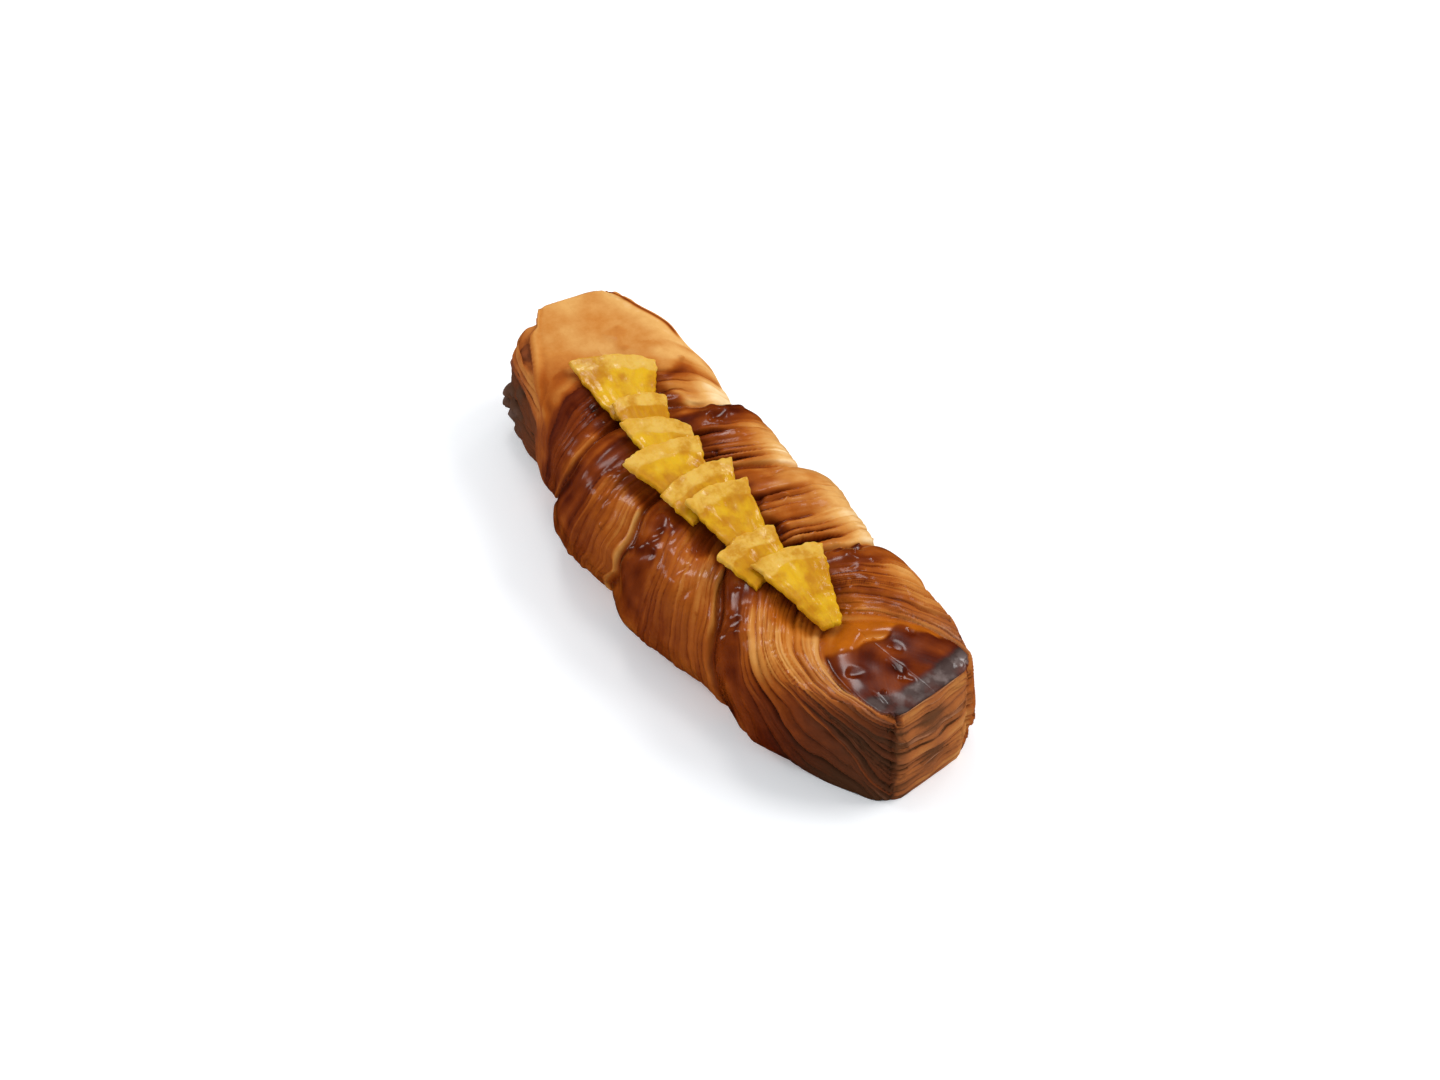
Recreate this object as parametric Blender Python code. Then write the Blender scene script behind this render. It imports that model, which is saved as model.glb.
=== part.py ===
# Orange danish: two twisted strands of laminated dough that leave a squared end block on either
# side, and eight orange wedges lying like roof tiles along the groove between the strands.
# +X runs along the pastry to the dark glazed end, +Z is up, the origin is under its middle.
import bpy
import bmesh
import numpy as np
from mathutils import Vector
from mathutils.bvhtree import BVHTree

cm = 0.01

# overall form, in centimetres
endX = 8.42                 # end faces stand at plus and minus this, before their swelling
sway = 0.009                # sideways bow of the whole pastry, per centimetre
crestX = (-8.46, -6.5, -4.0, -1.0, 2.0, 5.5, 8.46)
crestZ = (3.22, 3.38, 3.46, 3.50, 3.48, 3.42, 3.36)
edgeX = (-8.46, -7.5, -6.2, -4.6, -2.4, 0.0, 2.6, 4.6, 6.2, 7.4, 8.46)
leftEdge = (1.22, 1.90, 2.16, 2.48, 3.08, 3.08, 2.86, 2.80, 2.08, 1.50, 1.02)
rightEdge = (1.28, 1.95, 2.50, 2.78, 2.92, 3.22, 3.32, 3.06, 2.62, 2.18, 1.66)
grooveX = (-8.46, -5.0, 0.0, 5.0, 8.46)
grooveY = (0.03, 0.02, 0.08, 0.20, 0.33)
strandOverlap = 0.16        # each strand runs this far past the groove into the other
dipSlope = 0.9              # how fast it sinks under the other's surface there
roundPower = 2.25           # strand section, between a circle and a square
innerPower = 3.4            # squarer towards the groove, where the strands have baked together
farBlend = (0.3, 3.7)       # distances from the far end over which block turns into strand
nearBlend = (0.5, 4.1)
grooveEnds = (-6.6, -4.6, 4.2, 6.2)   # the groove opens and closes over these stretches
farSwell = (0.42, 0.15)     # sideways swelling of the end blocks, left and right
nearSwell = (0.08, 0.30)
endSwell = 0.16             # lengthwise swelling of the end faces

# crisp edges of the dough: where each crosses these angles round its strand (90 is the crest,
# 180 the outer side), measured along the pastry
edgeAngle = (45, 75, 105, 135, 165, 195, 225)
leftCrisp = ((-8.7, -8.7, -8.6, -7.7, -6.3, -5.7, -5.2),
             (-3.5, -3.25, -3.0, -3.0, -3.35, -3.85, -4.3),
             (-1.1, -0.95, -0.7, -0.3, -0.3, -0.7, -1.0),
             (1.5, 2.2, 2.9, 3.45, 3.65, 3.75, 3.7),
             (4.6, 5.1, 6.0, 8.0, 10.6, 12.0, 13.0))
rightCrisp = ((-8.8, -8.8, -8.7, -7.6, -6.0, -5.3, -4.8),
              (-3.9, -3.35, -2.95, -2.95, -3.4, -3.7, -4.0),
              (-1.0, -0.6, -0.25, -0.2, -0.6, -0.9, -1.2),
              (2.8, 3.1, 3.4, 3.3, 2.9, 2.7, 2.5),
              (4.7, 5.5, 6.7, 8.3, 10.4, 11.6, 12.4))
halfTurn = 3.6              # length of a half turn beyond the edges named above

# swelling of the dough over one half turn, from the notch at a crisp edge to the next
lobeAt = (0.0, 0.06, 0.16, 0.30, 0.45, 0.65, 0.85, 0.96, 1.0)
lobeSize = (0.88, 0.95, 1.02, 1.06, 1.06, 1.02, 0.96, 0.925, 0.88)
layerRelief = 0.035         # depth of the dough layers on the cut faces of the end blocks

# mesh of one strand: stations along it, points over its top, outer side, underside and inner side
stationCount = 62
sidePoints = (8, 12, 8, 12)
baseCut = 0.10              # the underside is cut flat this far above the rounded strand's lowest
underFade = (208, 242, 325, 372)   # the lobes fade out below, over these angles, and come back
squareFade = (248, 290, 335, 380)  # and the strand stays square where it is pressed to the other

# orange wedges: left and right end of the rind, the blunt tip, its width; centimetres
wedgeCorners = (((-5.94, -1.06), (-5.10, 1.13), (-2.95, -0.42), 0.80),
                ((-4.00, -0.80), (-3.66, 0.70), (-1.35, -0.55), 0.60),
                ((-3.08, -1.03), (-2.30, 0.66), (-0.15, -0.50), 0.60),
                ((-1.79, -1.75), (-1.72, 0.55), (0.75, -0.42), 0.50),
                ((-0.42, -1.43), (-0.62, 0.89), (1.95, -0.62), 0.60),
                ((0.25, -1.10), (0.31, 0.74), (2.90, -0.30), 0.70),
                ((2.15, -1.42), (1.95, 0.45), (4.45, -0.50), 0.50),
                ((2.85, -0.88), (3.20, 1.08), (5.33, -0.26), 0.55))
wedgeLength = (0.76, 0.58, 0.50, 0.60, 0.48, 0.80, 0.50, 1.0)   # share left where the next covers it
wedgeThick = 0.20
wedgeTilt = 0.20            # steepest slope a wedge takes up
wedgeBulge = 0.20           # how far the rind bows out
wedgeGap = 0.032            # air between a wedge and what it lies on
wedgeGrid = (7, 9)          # rows from rind to tip, points across

crustColor = (0.42, 0.155, 0.035, 1.0)
orangeColor = (0.86, 0.47, 0.03, 1.0)


def ease(t):
    t = np.clip(t, 0.0, 1.0)
    return t * t * (3 - 2 * t)


def curve(x, at, value):
    # cubic through the knots, flat at their turning points, so it never overshoots
    at, value = np.array(at, float), np.array(value, float)
    step = np.diff(value) / np.diff(at)
    slope = np.zeros(len(at))
    both = step[1:] * step[:-1] > 0
    total = np.where(both, step[1:] + step[:-1], 1.0)
    slope[1:-1] = np.where(both, 2 * step[1:] * step[:-1] / total, 0.0)
    slope[0], slope[-1] = step[0], step[-1]
    x = np.clip(x, at[0], at[-1])
    i = np.clip(np.searchsorted(at, x) - 1, 0, len(at) - 2)
    h = at[i + 1] - at[i]
    t = (x - at[i]) / h
    return ((2 * t**3 - 3 * t**2 + 1) * value[i] + (t**3 - 2 * t**2 + t) * h * slope[i]
            + (3 * t**2 - 2 * t**3) * value[i + 1] + (t**3 - t**2) * h * slope[i + 1])


def halfTurns(x, degrees, side):
    # half turns the dough has made at each station, seen at each angle; whole on a crisp edge.
    # Behind the strand every edge runs on as the next but one, as on a real twist.
    rows = np.array(leftCrisp if side < 0 else rightCrisp, float)
    rows = np.vstack([rows[0] - 2 * halfTurn, rows[0] - halfTurn, rows,
                      rows[-1] + halfTurn, rows[-1] + 2 * halfTurn])
    count = len(rows)
    starts = np.append(rows[:, 0], [rows[-1, 0] + halfTurn, rows[-1, 0] + 2 * halfTurn])
    knots = np.append(edgeAngle, edgeAngle[0] + 360.0)
    lines = np.array([curve(degrees, knots, np.append(rows[k], starts[k + 2])) for k in range(count)])
    lines = np.maximum.accumulate(lines + np.arange(count)[:, None] * 1e-3, 0)
    number = np.arange(count) - 2.0
    return np.stack([np.interp(x, lines[:, j], number) for j in range(len(degrees))], 1)


def bow(points):
    x, y, z = points[..., 0], points[..., 1], points[..., 2]
    slope = 2 * sway * x
    length = np.sqrt(1 + slope * slope)
    return np.stack([x - y * slope / length, sway * x * x + y / length, z], -1)


def strandRings(side, x):
    # one ring of points a station; each runs over top, outer side, underside and inner side
    x = np.asarray(x, float)[:, None]
    sideId = np.repeat(np.arange(4), sidePoints)[None]
    share = np.concatenate([np.arange(n) / n for n in sidePoints])[None]
    degrees = 45 + 90 * (sideId + share)
    angle = np.radians(degrees)
    middle = curve(x, grooveX, grooveY)
    reach = curve(x, edgeX, leftEdge if side < 0 else rightEdge) - side * middle
    crest = curve(x, crestX, crestZ)
    width = (reach + strandOverlap) / 2
    centre = (reach - strandOverlap) / 2
    high = (crest + baseCut) / 2
    turn = halfTurns(x[:, 0], degrees[0], side)
    lobe = np.interp(turn - np.floor(turn), lobeAt, lobeSize)
    shown = 1 - (ease((degrees - underFade[0]) / (underFade[1] - underFade[0]))
                 * ease((underFade[3] - degrees) / (underFade[3] - underFade[2])))
    lobe = 1 + (lobe - 1) * shown
    c, s = np.cos(angle), np.sin(angle)
    facing = 1 - ease((np.where(degrees > 270, degrees - 360, degrees) - 50) / 45)
    power = roundPower + (innerPower - roundPower) * facing
    size = lobe * (np.abs(c) ** power + np.abs(s) ** power) ** (-1 / power)
    roundP, roundQ = -width * c * size, crest - high + high * s * size
    # the end block is a rectangle; its first column lies past the groove, the second on it
    first = 1.0 / sidePoints[0]
    over = strandOverlap / (2 * width)
    inward = np.where(sideId == 2, 1 - share, share)
    topShare = np.where(inward < first - 1e-6, 0, over + (inward - first) / (1 - first) * (1 - over))
    one = np.ones_like(topShare * x)
    blockP = width * np.select([sideId == 0, sideId == 1, sideId == 2, sideId == 3],
                               [2 * topShare - 1, one, 2 * topShare - 1, -one])
    upper, lower = crest * one, -baseCut * one
    blockQ = np.select([sideId == 0, sideId == 1, sideId == 2, sideId == 3],
                       [upper, upper + (lower - upper) * share, lower, lower + (upper - lower) * share])
    fromNear, fromFar = endX - x, x + endX
    rounding = (ease((fromNear - nearBlend[0]) / (nearBlend[1] - nearBlend[0]))
                * ease((fromFar - farBlend[0]) / (farBlend[1] - farBlend[0])))
    square = (ease((degrees - squareFade[0]) / (squareFade[1] - squareFade[0]))
              * ease((squareFade[3] - degrees) / (squareFade[3] - squareFade[2])))
    opened = (ease((x - grooveEnds[0]) / (grooveEnds[1] - grooveEnds[0]))
             * ease((grooveEnds[3] - x) / (grooveEnds[3] - grooveEnds[2])))
    rounding = rounding * (1 - square) * (1 - facing * (1 - opened))
    p = blockP + (roundP - blockP) * rounding
    q = blockQ + (roundQ - blockQ) * rounding
    tall = np.clip(q / crest, 0, 1)
    outward = np.clip(p / width, 0, 1)
    pick = 0 if side < 0 else 1
    swell = np.where(x > 0, nearSwell[pick], farSwell[pick])
    layer = layerRelief * np.where(np.round(share * sidePoints[1]) % 2 == 1, 1.0, -1.0) * (sideId == 1)
    layer = layer * (share > 0)
    p = p + (1 - rounding) * (swell * np.sin(np.pi * tall) ** 0.8 * outward + layer)
    return x, middle + side * (centre + p), q, centre + p


def dip(past):
    # how far a strand's surface sinks once it is past the groove, so the other covers it
    return dipSlope * np.clip(-past, 0, None)


def strandMesh(side):
    x = np.linspace(-endX, endX, stationCount)
    stations, y, q, past = strandRings(side, x)
    upper = np.clip((q - 1.6) / 1.6, -1, 1)
    q = q - dip(past) * upper
    rings = np.stack([stations + 0 * y, y, q], -1)
    count = rings.shape[1]
    nTop, nOut = sidePoints[0], sidePoints[1]
    # end faces: rows down from the top, columns across from the inner side to the outer
    verts = [bow(rings).reshape(-1, 3)]
    faces = []
    i = np.arange(stationCount - 1)[:, None] * count
    j = np.arange(count)[None]
    after = (j + 1) % count
    a, b, c, d = i + j, i + after, i + after + count, i + j + count
    quads = np.stack([a, b, c, d], -1).reshape(-1, 4)
    faces += [quads]
    base = stationCount * count
    for end, ring in ((-1, 0), (1, stationCount - 1)):
        edge = rings[ring]
        topRow = edge[:nTop + 1]
        innerCol = np.concatenate([edge[2 * nTop + nOut:], edge[:1]])[::-1]
        outerCol = edge[nTop:nTop + nOut + 1]
        middle = curve(np.array([end * endX]), grooveX, grooveY)[0]
        across = ((topRow[:, 1] - middle) / (topRow[-1, 1] - middle))[None]
        reachRow = side * (outerCol[:, 1:2] - middle) * across
        past = np.where(across < -1e-9, -strandOverlap, np.maximum(reachRow, 0))
        column = np.clip(across, 0, 1)
        grid = np.zeros(past.shape + (3,))
        grid[..., 1] = middle + side * past
        grid[..., 2] = (1 - column) * innerCol[:, 2:3] + column * outerCol[:, 2:3]
        tall = np.clip(grid[..., 2] / 3.3, 0, 1)
        row = np.arange(nOut + 1)[:, None] + 0 * past
        push = endSwell * np.sin(np.pi * tall) ** 0.7 + layerRelief * np.where(row % 2 == 1, 1.0, -1.0)
        grid[..., 0] = end * (endX + push - dip(past) * 0.6)
        inner = bow(grid[1:-1, 1:-1]).reshape(-1, 3)
        index = np.zeros((nOut + 1, nTop + 1), int)
        index[0] = ring * count + np.arange(nTop + 1)
        index[-1] = (ring * count + nTop + nOut + np.arange(nTop + 1))[::-1]
        index[:, -1] = ring * count + nTop + np.arange(nOut + 1)
        column = ring * count + (2 * nTop + nOut + np.arange(nOut + 1)) % count
        index[:, 0] = column[::-1]
        index[1:-1, 1:-1] = base + np.arange(inner.shape[0]).reshape(nOut - 1, nTop - 1)
        base += inner.shape[0]
        verts.append(inner)
        cap = np.stack([index[:-1, :-1], index[:-1, 1:], index[1:, 1:], index[1:, :-1]], -1).reshape(-1, 4)
        faces.append(cap[:, ::-1] if end > 0 else cap)
    return np.concatenate(verts) * cm, np.concatenate(faces)


def material(name, color, roughness, coat):
    made = bpy.data.materials.new(name)
    made.use_nodes = True
    shader = made.node_tree.nodes["Principled BSDF"]
    shader.inputs["Base Color"].default_value = color
    shader.inputs["Roughness"].default_value = roughness
    shader.inputs["Metallic"].default_value = 0.0
    shader.inputs["Coat Weight"].default_value = coat
    return made


def meshObject(name, verts, faces, collection, look=None):
    mesh = bpy.data.meshes.new(name)
    mesh.from_pydata([tuple(v) for v in verts], [], [tuple(int(i) for i in f) for f in faces])
    mesh.validate()
    work = bmesh.new()
    work.from_mesh(mesh)
    bmesh.ops.recalc_face_normals(work, faces=work.faces)
    work.to_mesh(mesh)
    work.free()
    made = bpy.data.objects.new(name, mesh)
    collection.objects.link(made)
    if look:
        mesh.materials.append(look)
    return made


def flatBase(thing):
    # cut away what lies under the table plane and close the cut
    work = bmesh.new()
    work.from_mesh(thing.data)
    geometry = work.verts[:] + work.edges[:] + work.faces[:]
    cut = bmesh.ops.bisect_plane(work, geom=geometry, plane_co=(0, 0, 0), plane_no=(0, 0, -1),
                                 clear_outer=True, dist=1e-7)
    edges = [e for e in cut["geom_cut"] if isinstance(e, bmesh.types.BMEdge)]
    bmesh.ops.holes_fill(work, edges=edges, sides=0)
    bmesh.ops.dissolve_degenerate(work, dist=2e-5, edges=work.edges)
    bmesh.ops.triangulate(work, faces=work.faces)
    bmesh.ops.recalc_face_normals(work, faces=work.faces)
    work.to_mesh(thing.data)
    work.free()


def wedgeSheet(corners, length, rows, across):
    # flat wedge as a grid: the first row is the bowed rind, the last the blunt tip
    left, right, tip, blunt = (np.array(v, float) for v in corners)
    chord = (right - left) / np.linalg.norm(right - left)
    away = (left + right) / 2 - tip
    away /= np.linalg.norm(away)
    tipLeft, tipRight = tip - chord * blunt / 2, tip + chord * blunt / 2
    v = np.linspace(0, length, rows)[:, None, None]
    u = np.linspace(0, 1, across)[None, :, None]
    rind = left + (right - left) * u + away * wedgeBulge * 4 * u * (1 - u)
    point = tipLeft + (tipRight - tipLeft) * u + away * -0.06 * 4 * u * (1 - u)
    return rind + (point - rind) * v


def restingPlane(flat, below):
    # lowest plane over the heights found under the wedge: the one it would come to rest on
    middle = flat.mean(0)
    u, v = flat[:, 0] - middle[0], flat[:, 1] - middle[1]
    best = None
    slopes = np.linspace(-wedgeTilt, wedgeTilt, 41)
    for bx in slopes:
        base = below - bx * u
        height = (base[None] - slopes[:, None] * v[None]).max(1)
        k = int(np.argmin(height))
        if best is None or height[k] < best[0]:
            best = (float(height[k]), float(bx), float(slopes[k]))
    return middle, best


def buildWedge(number, corners, length, resting, collection, look):
    rows, across = wedgeGrid
    fine = wedgeSheet(corners, length, 15, 15).reshape(-1, 2)
    worldFine = bow(np.concatenate([fine, np.zeros((len(fine), 1))], 1))
    below = []
    for x, y, _ in worldFine:
        tops = [tree.ray_cast(Vector((x * cm, y * cm, 0.2)), Vector((0, 0, -1)))[0] for tree in resting]
        below.append(max([hit.z / cm for hit in tops if hit] or [0.0]))
    middle, (height, bx, by) = restingPlane(worldFine[:, :2], np.array(below) + wedgeGap)
    grid = wedgeSheet(corners, length, rows, across)
    world = bow(np.concatenate([grid, np.zeros(grid.shape[:2] + (1,))], -1))
    low = height + bx * (world[..., 0] - middle[0]) + by * (world[..., 1] - middle[1])
    world[..., 2] = low
    upper = world.copy()
    lift = np.array([-bx, -by, 1.0]) / np.sqrt(1 + bx * bx + by * by) * wedgeThick
    upper += lift
    inset = 0.06
    centre = upper.mean((0, 1))
    flat = upper + (centre - upper) * inset
    flat[..., 2] = upper[..., 2]
    index = np.arange(rows * across).reshape(rows, across)
    verts = np.concatenate([flat.reshape(-1, 3), world.reshape(-1, 3)])
    top = np.stack([index[:-1, :-1], index[1:, :-1], index[1:, 1:], index[:-1, 1:]], -1).reshape(-1, 4)
    under = top[:, ::-1] + rows * across
    rim = np.concatenate([index[0, :-1], index[:-1, -1], index[-1, :0:-1], index[:0:-1, 0]])
    after = np.roll(rim, -1)
    wall = np.stack([rim, after, after + rows * across, rim + rows * across], -1)
    faces = np.concatenate([top, under, wall])
    tris = np.concatenate([faces[:, [0, 1, 2]], faces[:, [0, 2, 3]]])
    made = meshObject("orange_wedge_%d" % number, verts * cm, tris, collection, look)
    work = bmesh.new()
    work.from_mesh(made.data)
    tree = BVHTree.FromBMesh(work)
    work.free()
    return made, tree


for old in list(bpy.data.objects):
    bpy.data.objects.remove(old)

danish = bpy.data.collections.new("orange_danish")
strands = bpy.data.collections.new("strands")
bpy.context.scene.collection.children.link(danish)
bpy.context.scene.collection.children.link(strands)
crust = material("baked_crust", crustColor, 0.38, 0.35)
flesh = material("candied_orange", orangeColor, 0.25, 0.4)

# the two strands, joined into one solid and set flat
pastry = meshObject("pastry", *strandMesh(-1), danish, crust)
other = meshObject("strand_right", *strandMesh(1), strands, crust)
join = pastry.modifiers.new("join", "BOOLEAN")
join.operation = "UNION"
join.operand_type = "COLLECTION"
join.collection = strands
join.solver = "EXACT"
dressed = pastry.evaluated_get(bpy.context.evaluated_depsgraph_get())
joined = bpy.data.meshes.new_from_object(dressed)
pastry.modifiers.clear()
pastry.data = joined
for extra in list(strands.objects):
    bpy.data.objects.remove(extra)
bpy.data.collections.remove(strands)
flatBase(pastry)

# set the part's box over the origin before the wedges are laid
box = np.array([tuple(v.co) for v in pastry.data.vertices])
offset = -(box.min(0) + box.max(0)) / 2
offset[2] = 0.0

work = bmesh.new()
work.from_mesh(pastry.data)
resting = [BVHTree.FromBMesh(work)]
work.free()
for number, (corners, length) in enumerate(zip(wedgeCorners, wedgeLength), 1):
    wedge, tree = buildWedge(number, corners, length, resting, danish, flesh)
    resting.append(tree)
for thing in danish.objects:
    for vertex in thing.data.vertices:
        vertex.co += Vector(offset)
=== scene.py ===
import bpy
import numpy as np
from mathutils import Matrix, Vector


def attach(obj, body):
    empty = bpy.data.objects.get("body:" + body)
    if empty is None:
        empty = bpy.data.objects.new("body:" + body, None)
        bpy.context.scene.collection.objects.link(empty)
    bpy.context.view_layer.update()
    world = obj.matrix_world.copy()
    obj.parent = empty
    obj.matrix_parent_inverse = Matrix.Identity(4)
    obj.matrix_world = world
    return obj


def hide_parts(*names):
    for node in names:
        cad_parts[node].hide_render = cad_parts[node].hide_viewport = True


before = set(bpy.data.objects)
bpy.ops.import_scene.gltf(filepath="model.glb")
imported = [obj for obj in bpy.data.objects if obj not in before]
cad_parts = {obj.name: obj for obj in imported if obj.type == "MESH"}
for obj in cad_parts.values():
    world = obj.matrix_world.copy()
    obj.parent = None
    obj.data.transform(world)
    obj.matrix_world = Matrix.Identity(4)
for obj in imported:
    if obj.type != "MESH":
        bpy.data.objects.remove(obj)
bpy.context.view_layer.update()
cm = 0.01
print("frame loaded:", len(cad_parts), "solids")


def step(value, zeroAt, oneAt):
    # smooth step: with t the share of the way from 0 to 1, 3 t squared minus 2 t cubed
    t = np.clip((value - zeroAt) / (oneAt - zeroAt), 0.0, 1.0)
    return t * t * (3 - 2 * t)


def plateau(value, riseFrom, riseTo, fallFrom, fallTo):
    # a smooth step up times a smooth step down
    return step(value, riseFrom, riseTo) * step(value, fallTo, fallFrom)


def bell(value, middle, width):
    # e to the minus square of the distance from the middle, counted in widths
    t = (value - middle) / width
    return np.exp(-np.minimum(t * t, 40.0))


def curve(x, at, value):
    # cubic through the knots, flat at their turning points, so it never overshoots
    at, value = np.array(at, float), np.array(value, float)
    rise = np.diff(value) / np.diff(at)
    slope = np.zeros(len(at))
    goesOn = rise[1:] * rise[:-1] > 0
    total = np.where(goesOn, rise[1:] + rise[:-1], 1.0)
    slope[1:-1] = np.where(goesOn, 2 * rise[1:] * rise[:-1] / total, 0.0)
    slope[0], slope[-1] = rise[0], rise[-1]
    x = np.clip(x, at[0], at[-1])
    i = np.clip(np.searchsorted(at, x) - 1, 0, len(at) - 2)
    h = at[i + 1] - at[i]
    t = (x - at[i]) / h
    return ((2 * t**3 - 3 * t**2 + 1) * value[i] + (t**3 - 2 * t**2 + t) * h * slope[i]
            + (3 * t**2 - 2 * t**3) * value[i + 1] + (t**3 - t**2) * h * slope[i + 1])


def ripples(points, size, seed, waves=14):
    # irregular swell: seeded sine waves of about this length, in random directions, added up
    dice = np.random.default_rng(seed)
    way = dice.normal(size=(waves, points.shape[-1]))
    way /= np.linalg.norm(way, axis=1, keepdims=True)
    pace = 2 * np.pi / size * dice.uniform(0.6, 1.5, waves)
    start = dice.uniform(0, 2 * np.pi, waves)
    total = sum(np.sin(points @ (way[k] * pace[k]) + start[k]) for k in range(waves))
    return total * np.sqrt(2.0 / waves)


def addSkin(name, verts, faces, layers):
    # one closed mesh from arrays, in centimetres about the frame's origin, with its named values per point
    mesh = bpy.data.meshes.new(name)
    mesh.from_pydata((verts * cm).tolist(), [], faces)
    mesh.polygons.foreach_set("use_smooth", np.ones(len(mesh.polygons), bool))
    for label, value in layers.items():
        kind, field = ("FLOAT_VECTOR", "vector") if value.ndim == 2 else ("FLOAT", "value")
        named = mesh.attributes.new(label, kind, "POINT")
        named.data.foreach_set(field, value.astype(np.float32).ravel())
    mesh.update()
    piece = bpy.data.objects.new(name, mesh)
    bpy.context.scene.collection.objects.link(piece)
    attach(piece, "root")
    return piece


# the two strands of dough, left and right in each pair, in centimetres. Degrees go round a strand: 45 to 135
# is its top from the groove outwards, 135 to 225 the outer side and 315 to 405 the side in the groove
strandForm = {
    "endX": 8.42, "sway": 0.009, "offset": (0.0399, -0.1194),
    "crestX": (-8.46, -6.5, -4.0, -1.0, 2.0, 5.5, 8.46),
    "crestZ": (3.22, 3.38, 3.46, 3.50, 3.48, 3.42, 3.36),
    "edgeX": (-8.46, -7.5, -6.2, -4.6, -2.4, 0.0, 2.6, 4.6, 6.2, 7.4, 8.46),
    "edges": ((1.22, 1.90, 2.16, 2.48, 3.08, 3.08, 2.86, 2.80, 2.08, 1.50, 1.02),
              (1.24, 1.82, 2.46, 2.78, 2.92, 3.22, 3.32, 3.06, 2.62, 2.18, 1.66)),
    "grooveX": (-8.46, -5.0, 0.0, 5.0, 8.46), "grooveY": (0.03, 0.02, 0.08, 0.20, 0.33),
    "overlap": 0.16, "lapPoints": 0.125, "dip": 0.3, "waistZ": 1.6, "roundPower": 2.25, "innerPower": 3.4,
    "farBlend": (0.3, 3.7), "nearBlend": (0.5, 4.1), "grooveEnds": (-6.6, -4.6, 4.2, 6.2),
    "farSwell": (0.36, 0.15), "nearSwell": (0.08, 0.30), "endSwell": 0.16, "farBulge": 0.20, "baseCut": 0.10,
    "poleZ": 1.62, "endHeight": 3.3, "farHalfWidth": 1.26, "sideLength": 2.6,
    # reach of the rounding at the corners in plan, left and right, at the far end and at the near end
    "cornerRound": ((0.80, 0.50), (0.15, 0.45)),
    "outerRange": (118, 136, 224, 242), "innerRange": (320, 342, 380, 402),
    "underFade": (208, 242, 325, 372), "squareFade": (248, 290, 335, 380), "innerFade": (95, 50),
    # crisp edges of the dough: where each crosses these angles round its strand
    "angles": (45, 75, 105, 135, 165, 195, 225), "halfTurn": 3.6,
    "crisp": (((-8.7, -8.7, -8.6, -7.7, -6.3, -5.7, -5.2),
               (-3.85, -3.65, -3.4, -3.25, -3.4, -3.85, -4.3),
               (-1.1, -0.95, -0.7, -0.3, -0.3, -0.7, -1.0),
               (1.2, 1.85, 2.55, 3.2, 3.5, 3.7, 3.7),
               (4.8, 5.35, 6.3, 8.3, 10.8, 12.0, 13.0)),
              ((-8.8, -8.8, -8.7, -7.6, -6.0, -5.3, -4.8),
               (-4.05, -3.55, -3.1, -3.05, -3.4, -3.7, -4.0),
               (-1.15, -0.75, -0.4, -0.3, -0.6, -0.9, -1.2),
               (2.7, 3.0, 3.3, 3.25, 2.9, 2.7, 2.5),
               (4.7, 5.5, 6.7, 8.3, 11.1, 12.75, 14.2))),
    "lobeAt": (0.0, 0.06, 0.16, 0.30, 0.45, 0.65, 0.85, 0.96, 1.0),
    "lobeSize": (0.88, 0.95, 1.02, 1.06, 1.06, 1.02, 0.96, 0.925, 0.88),
    "stations": 390,
    "around": ((62, 84, 8, 50)),
    "capRings": ((20, 40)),
}

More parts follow.
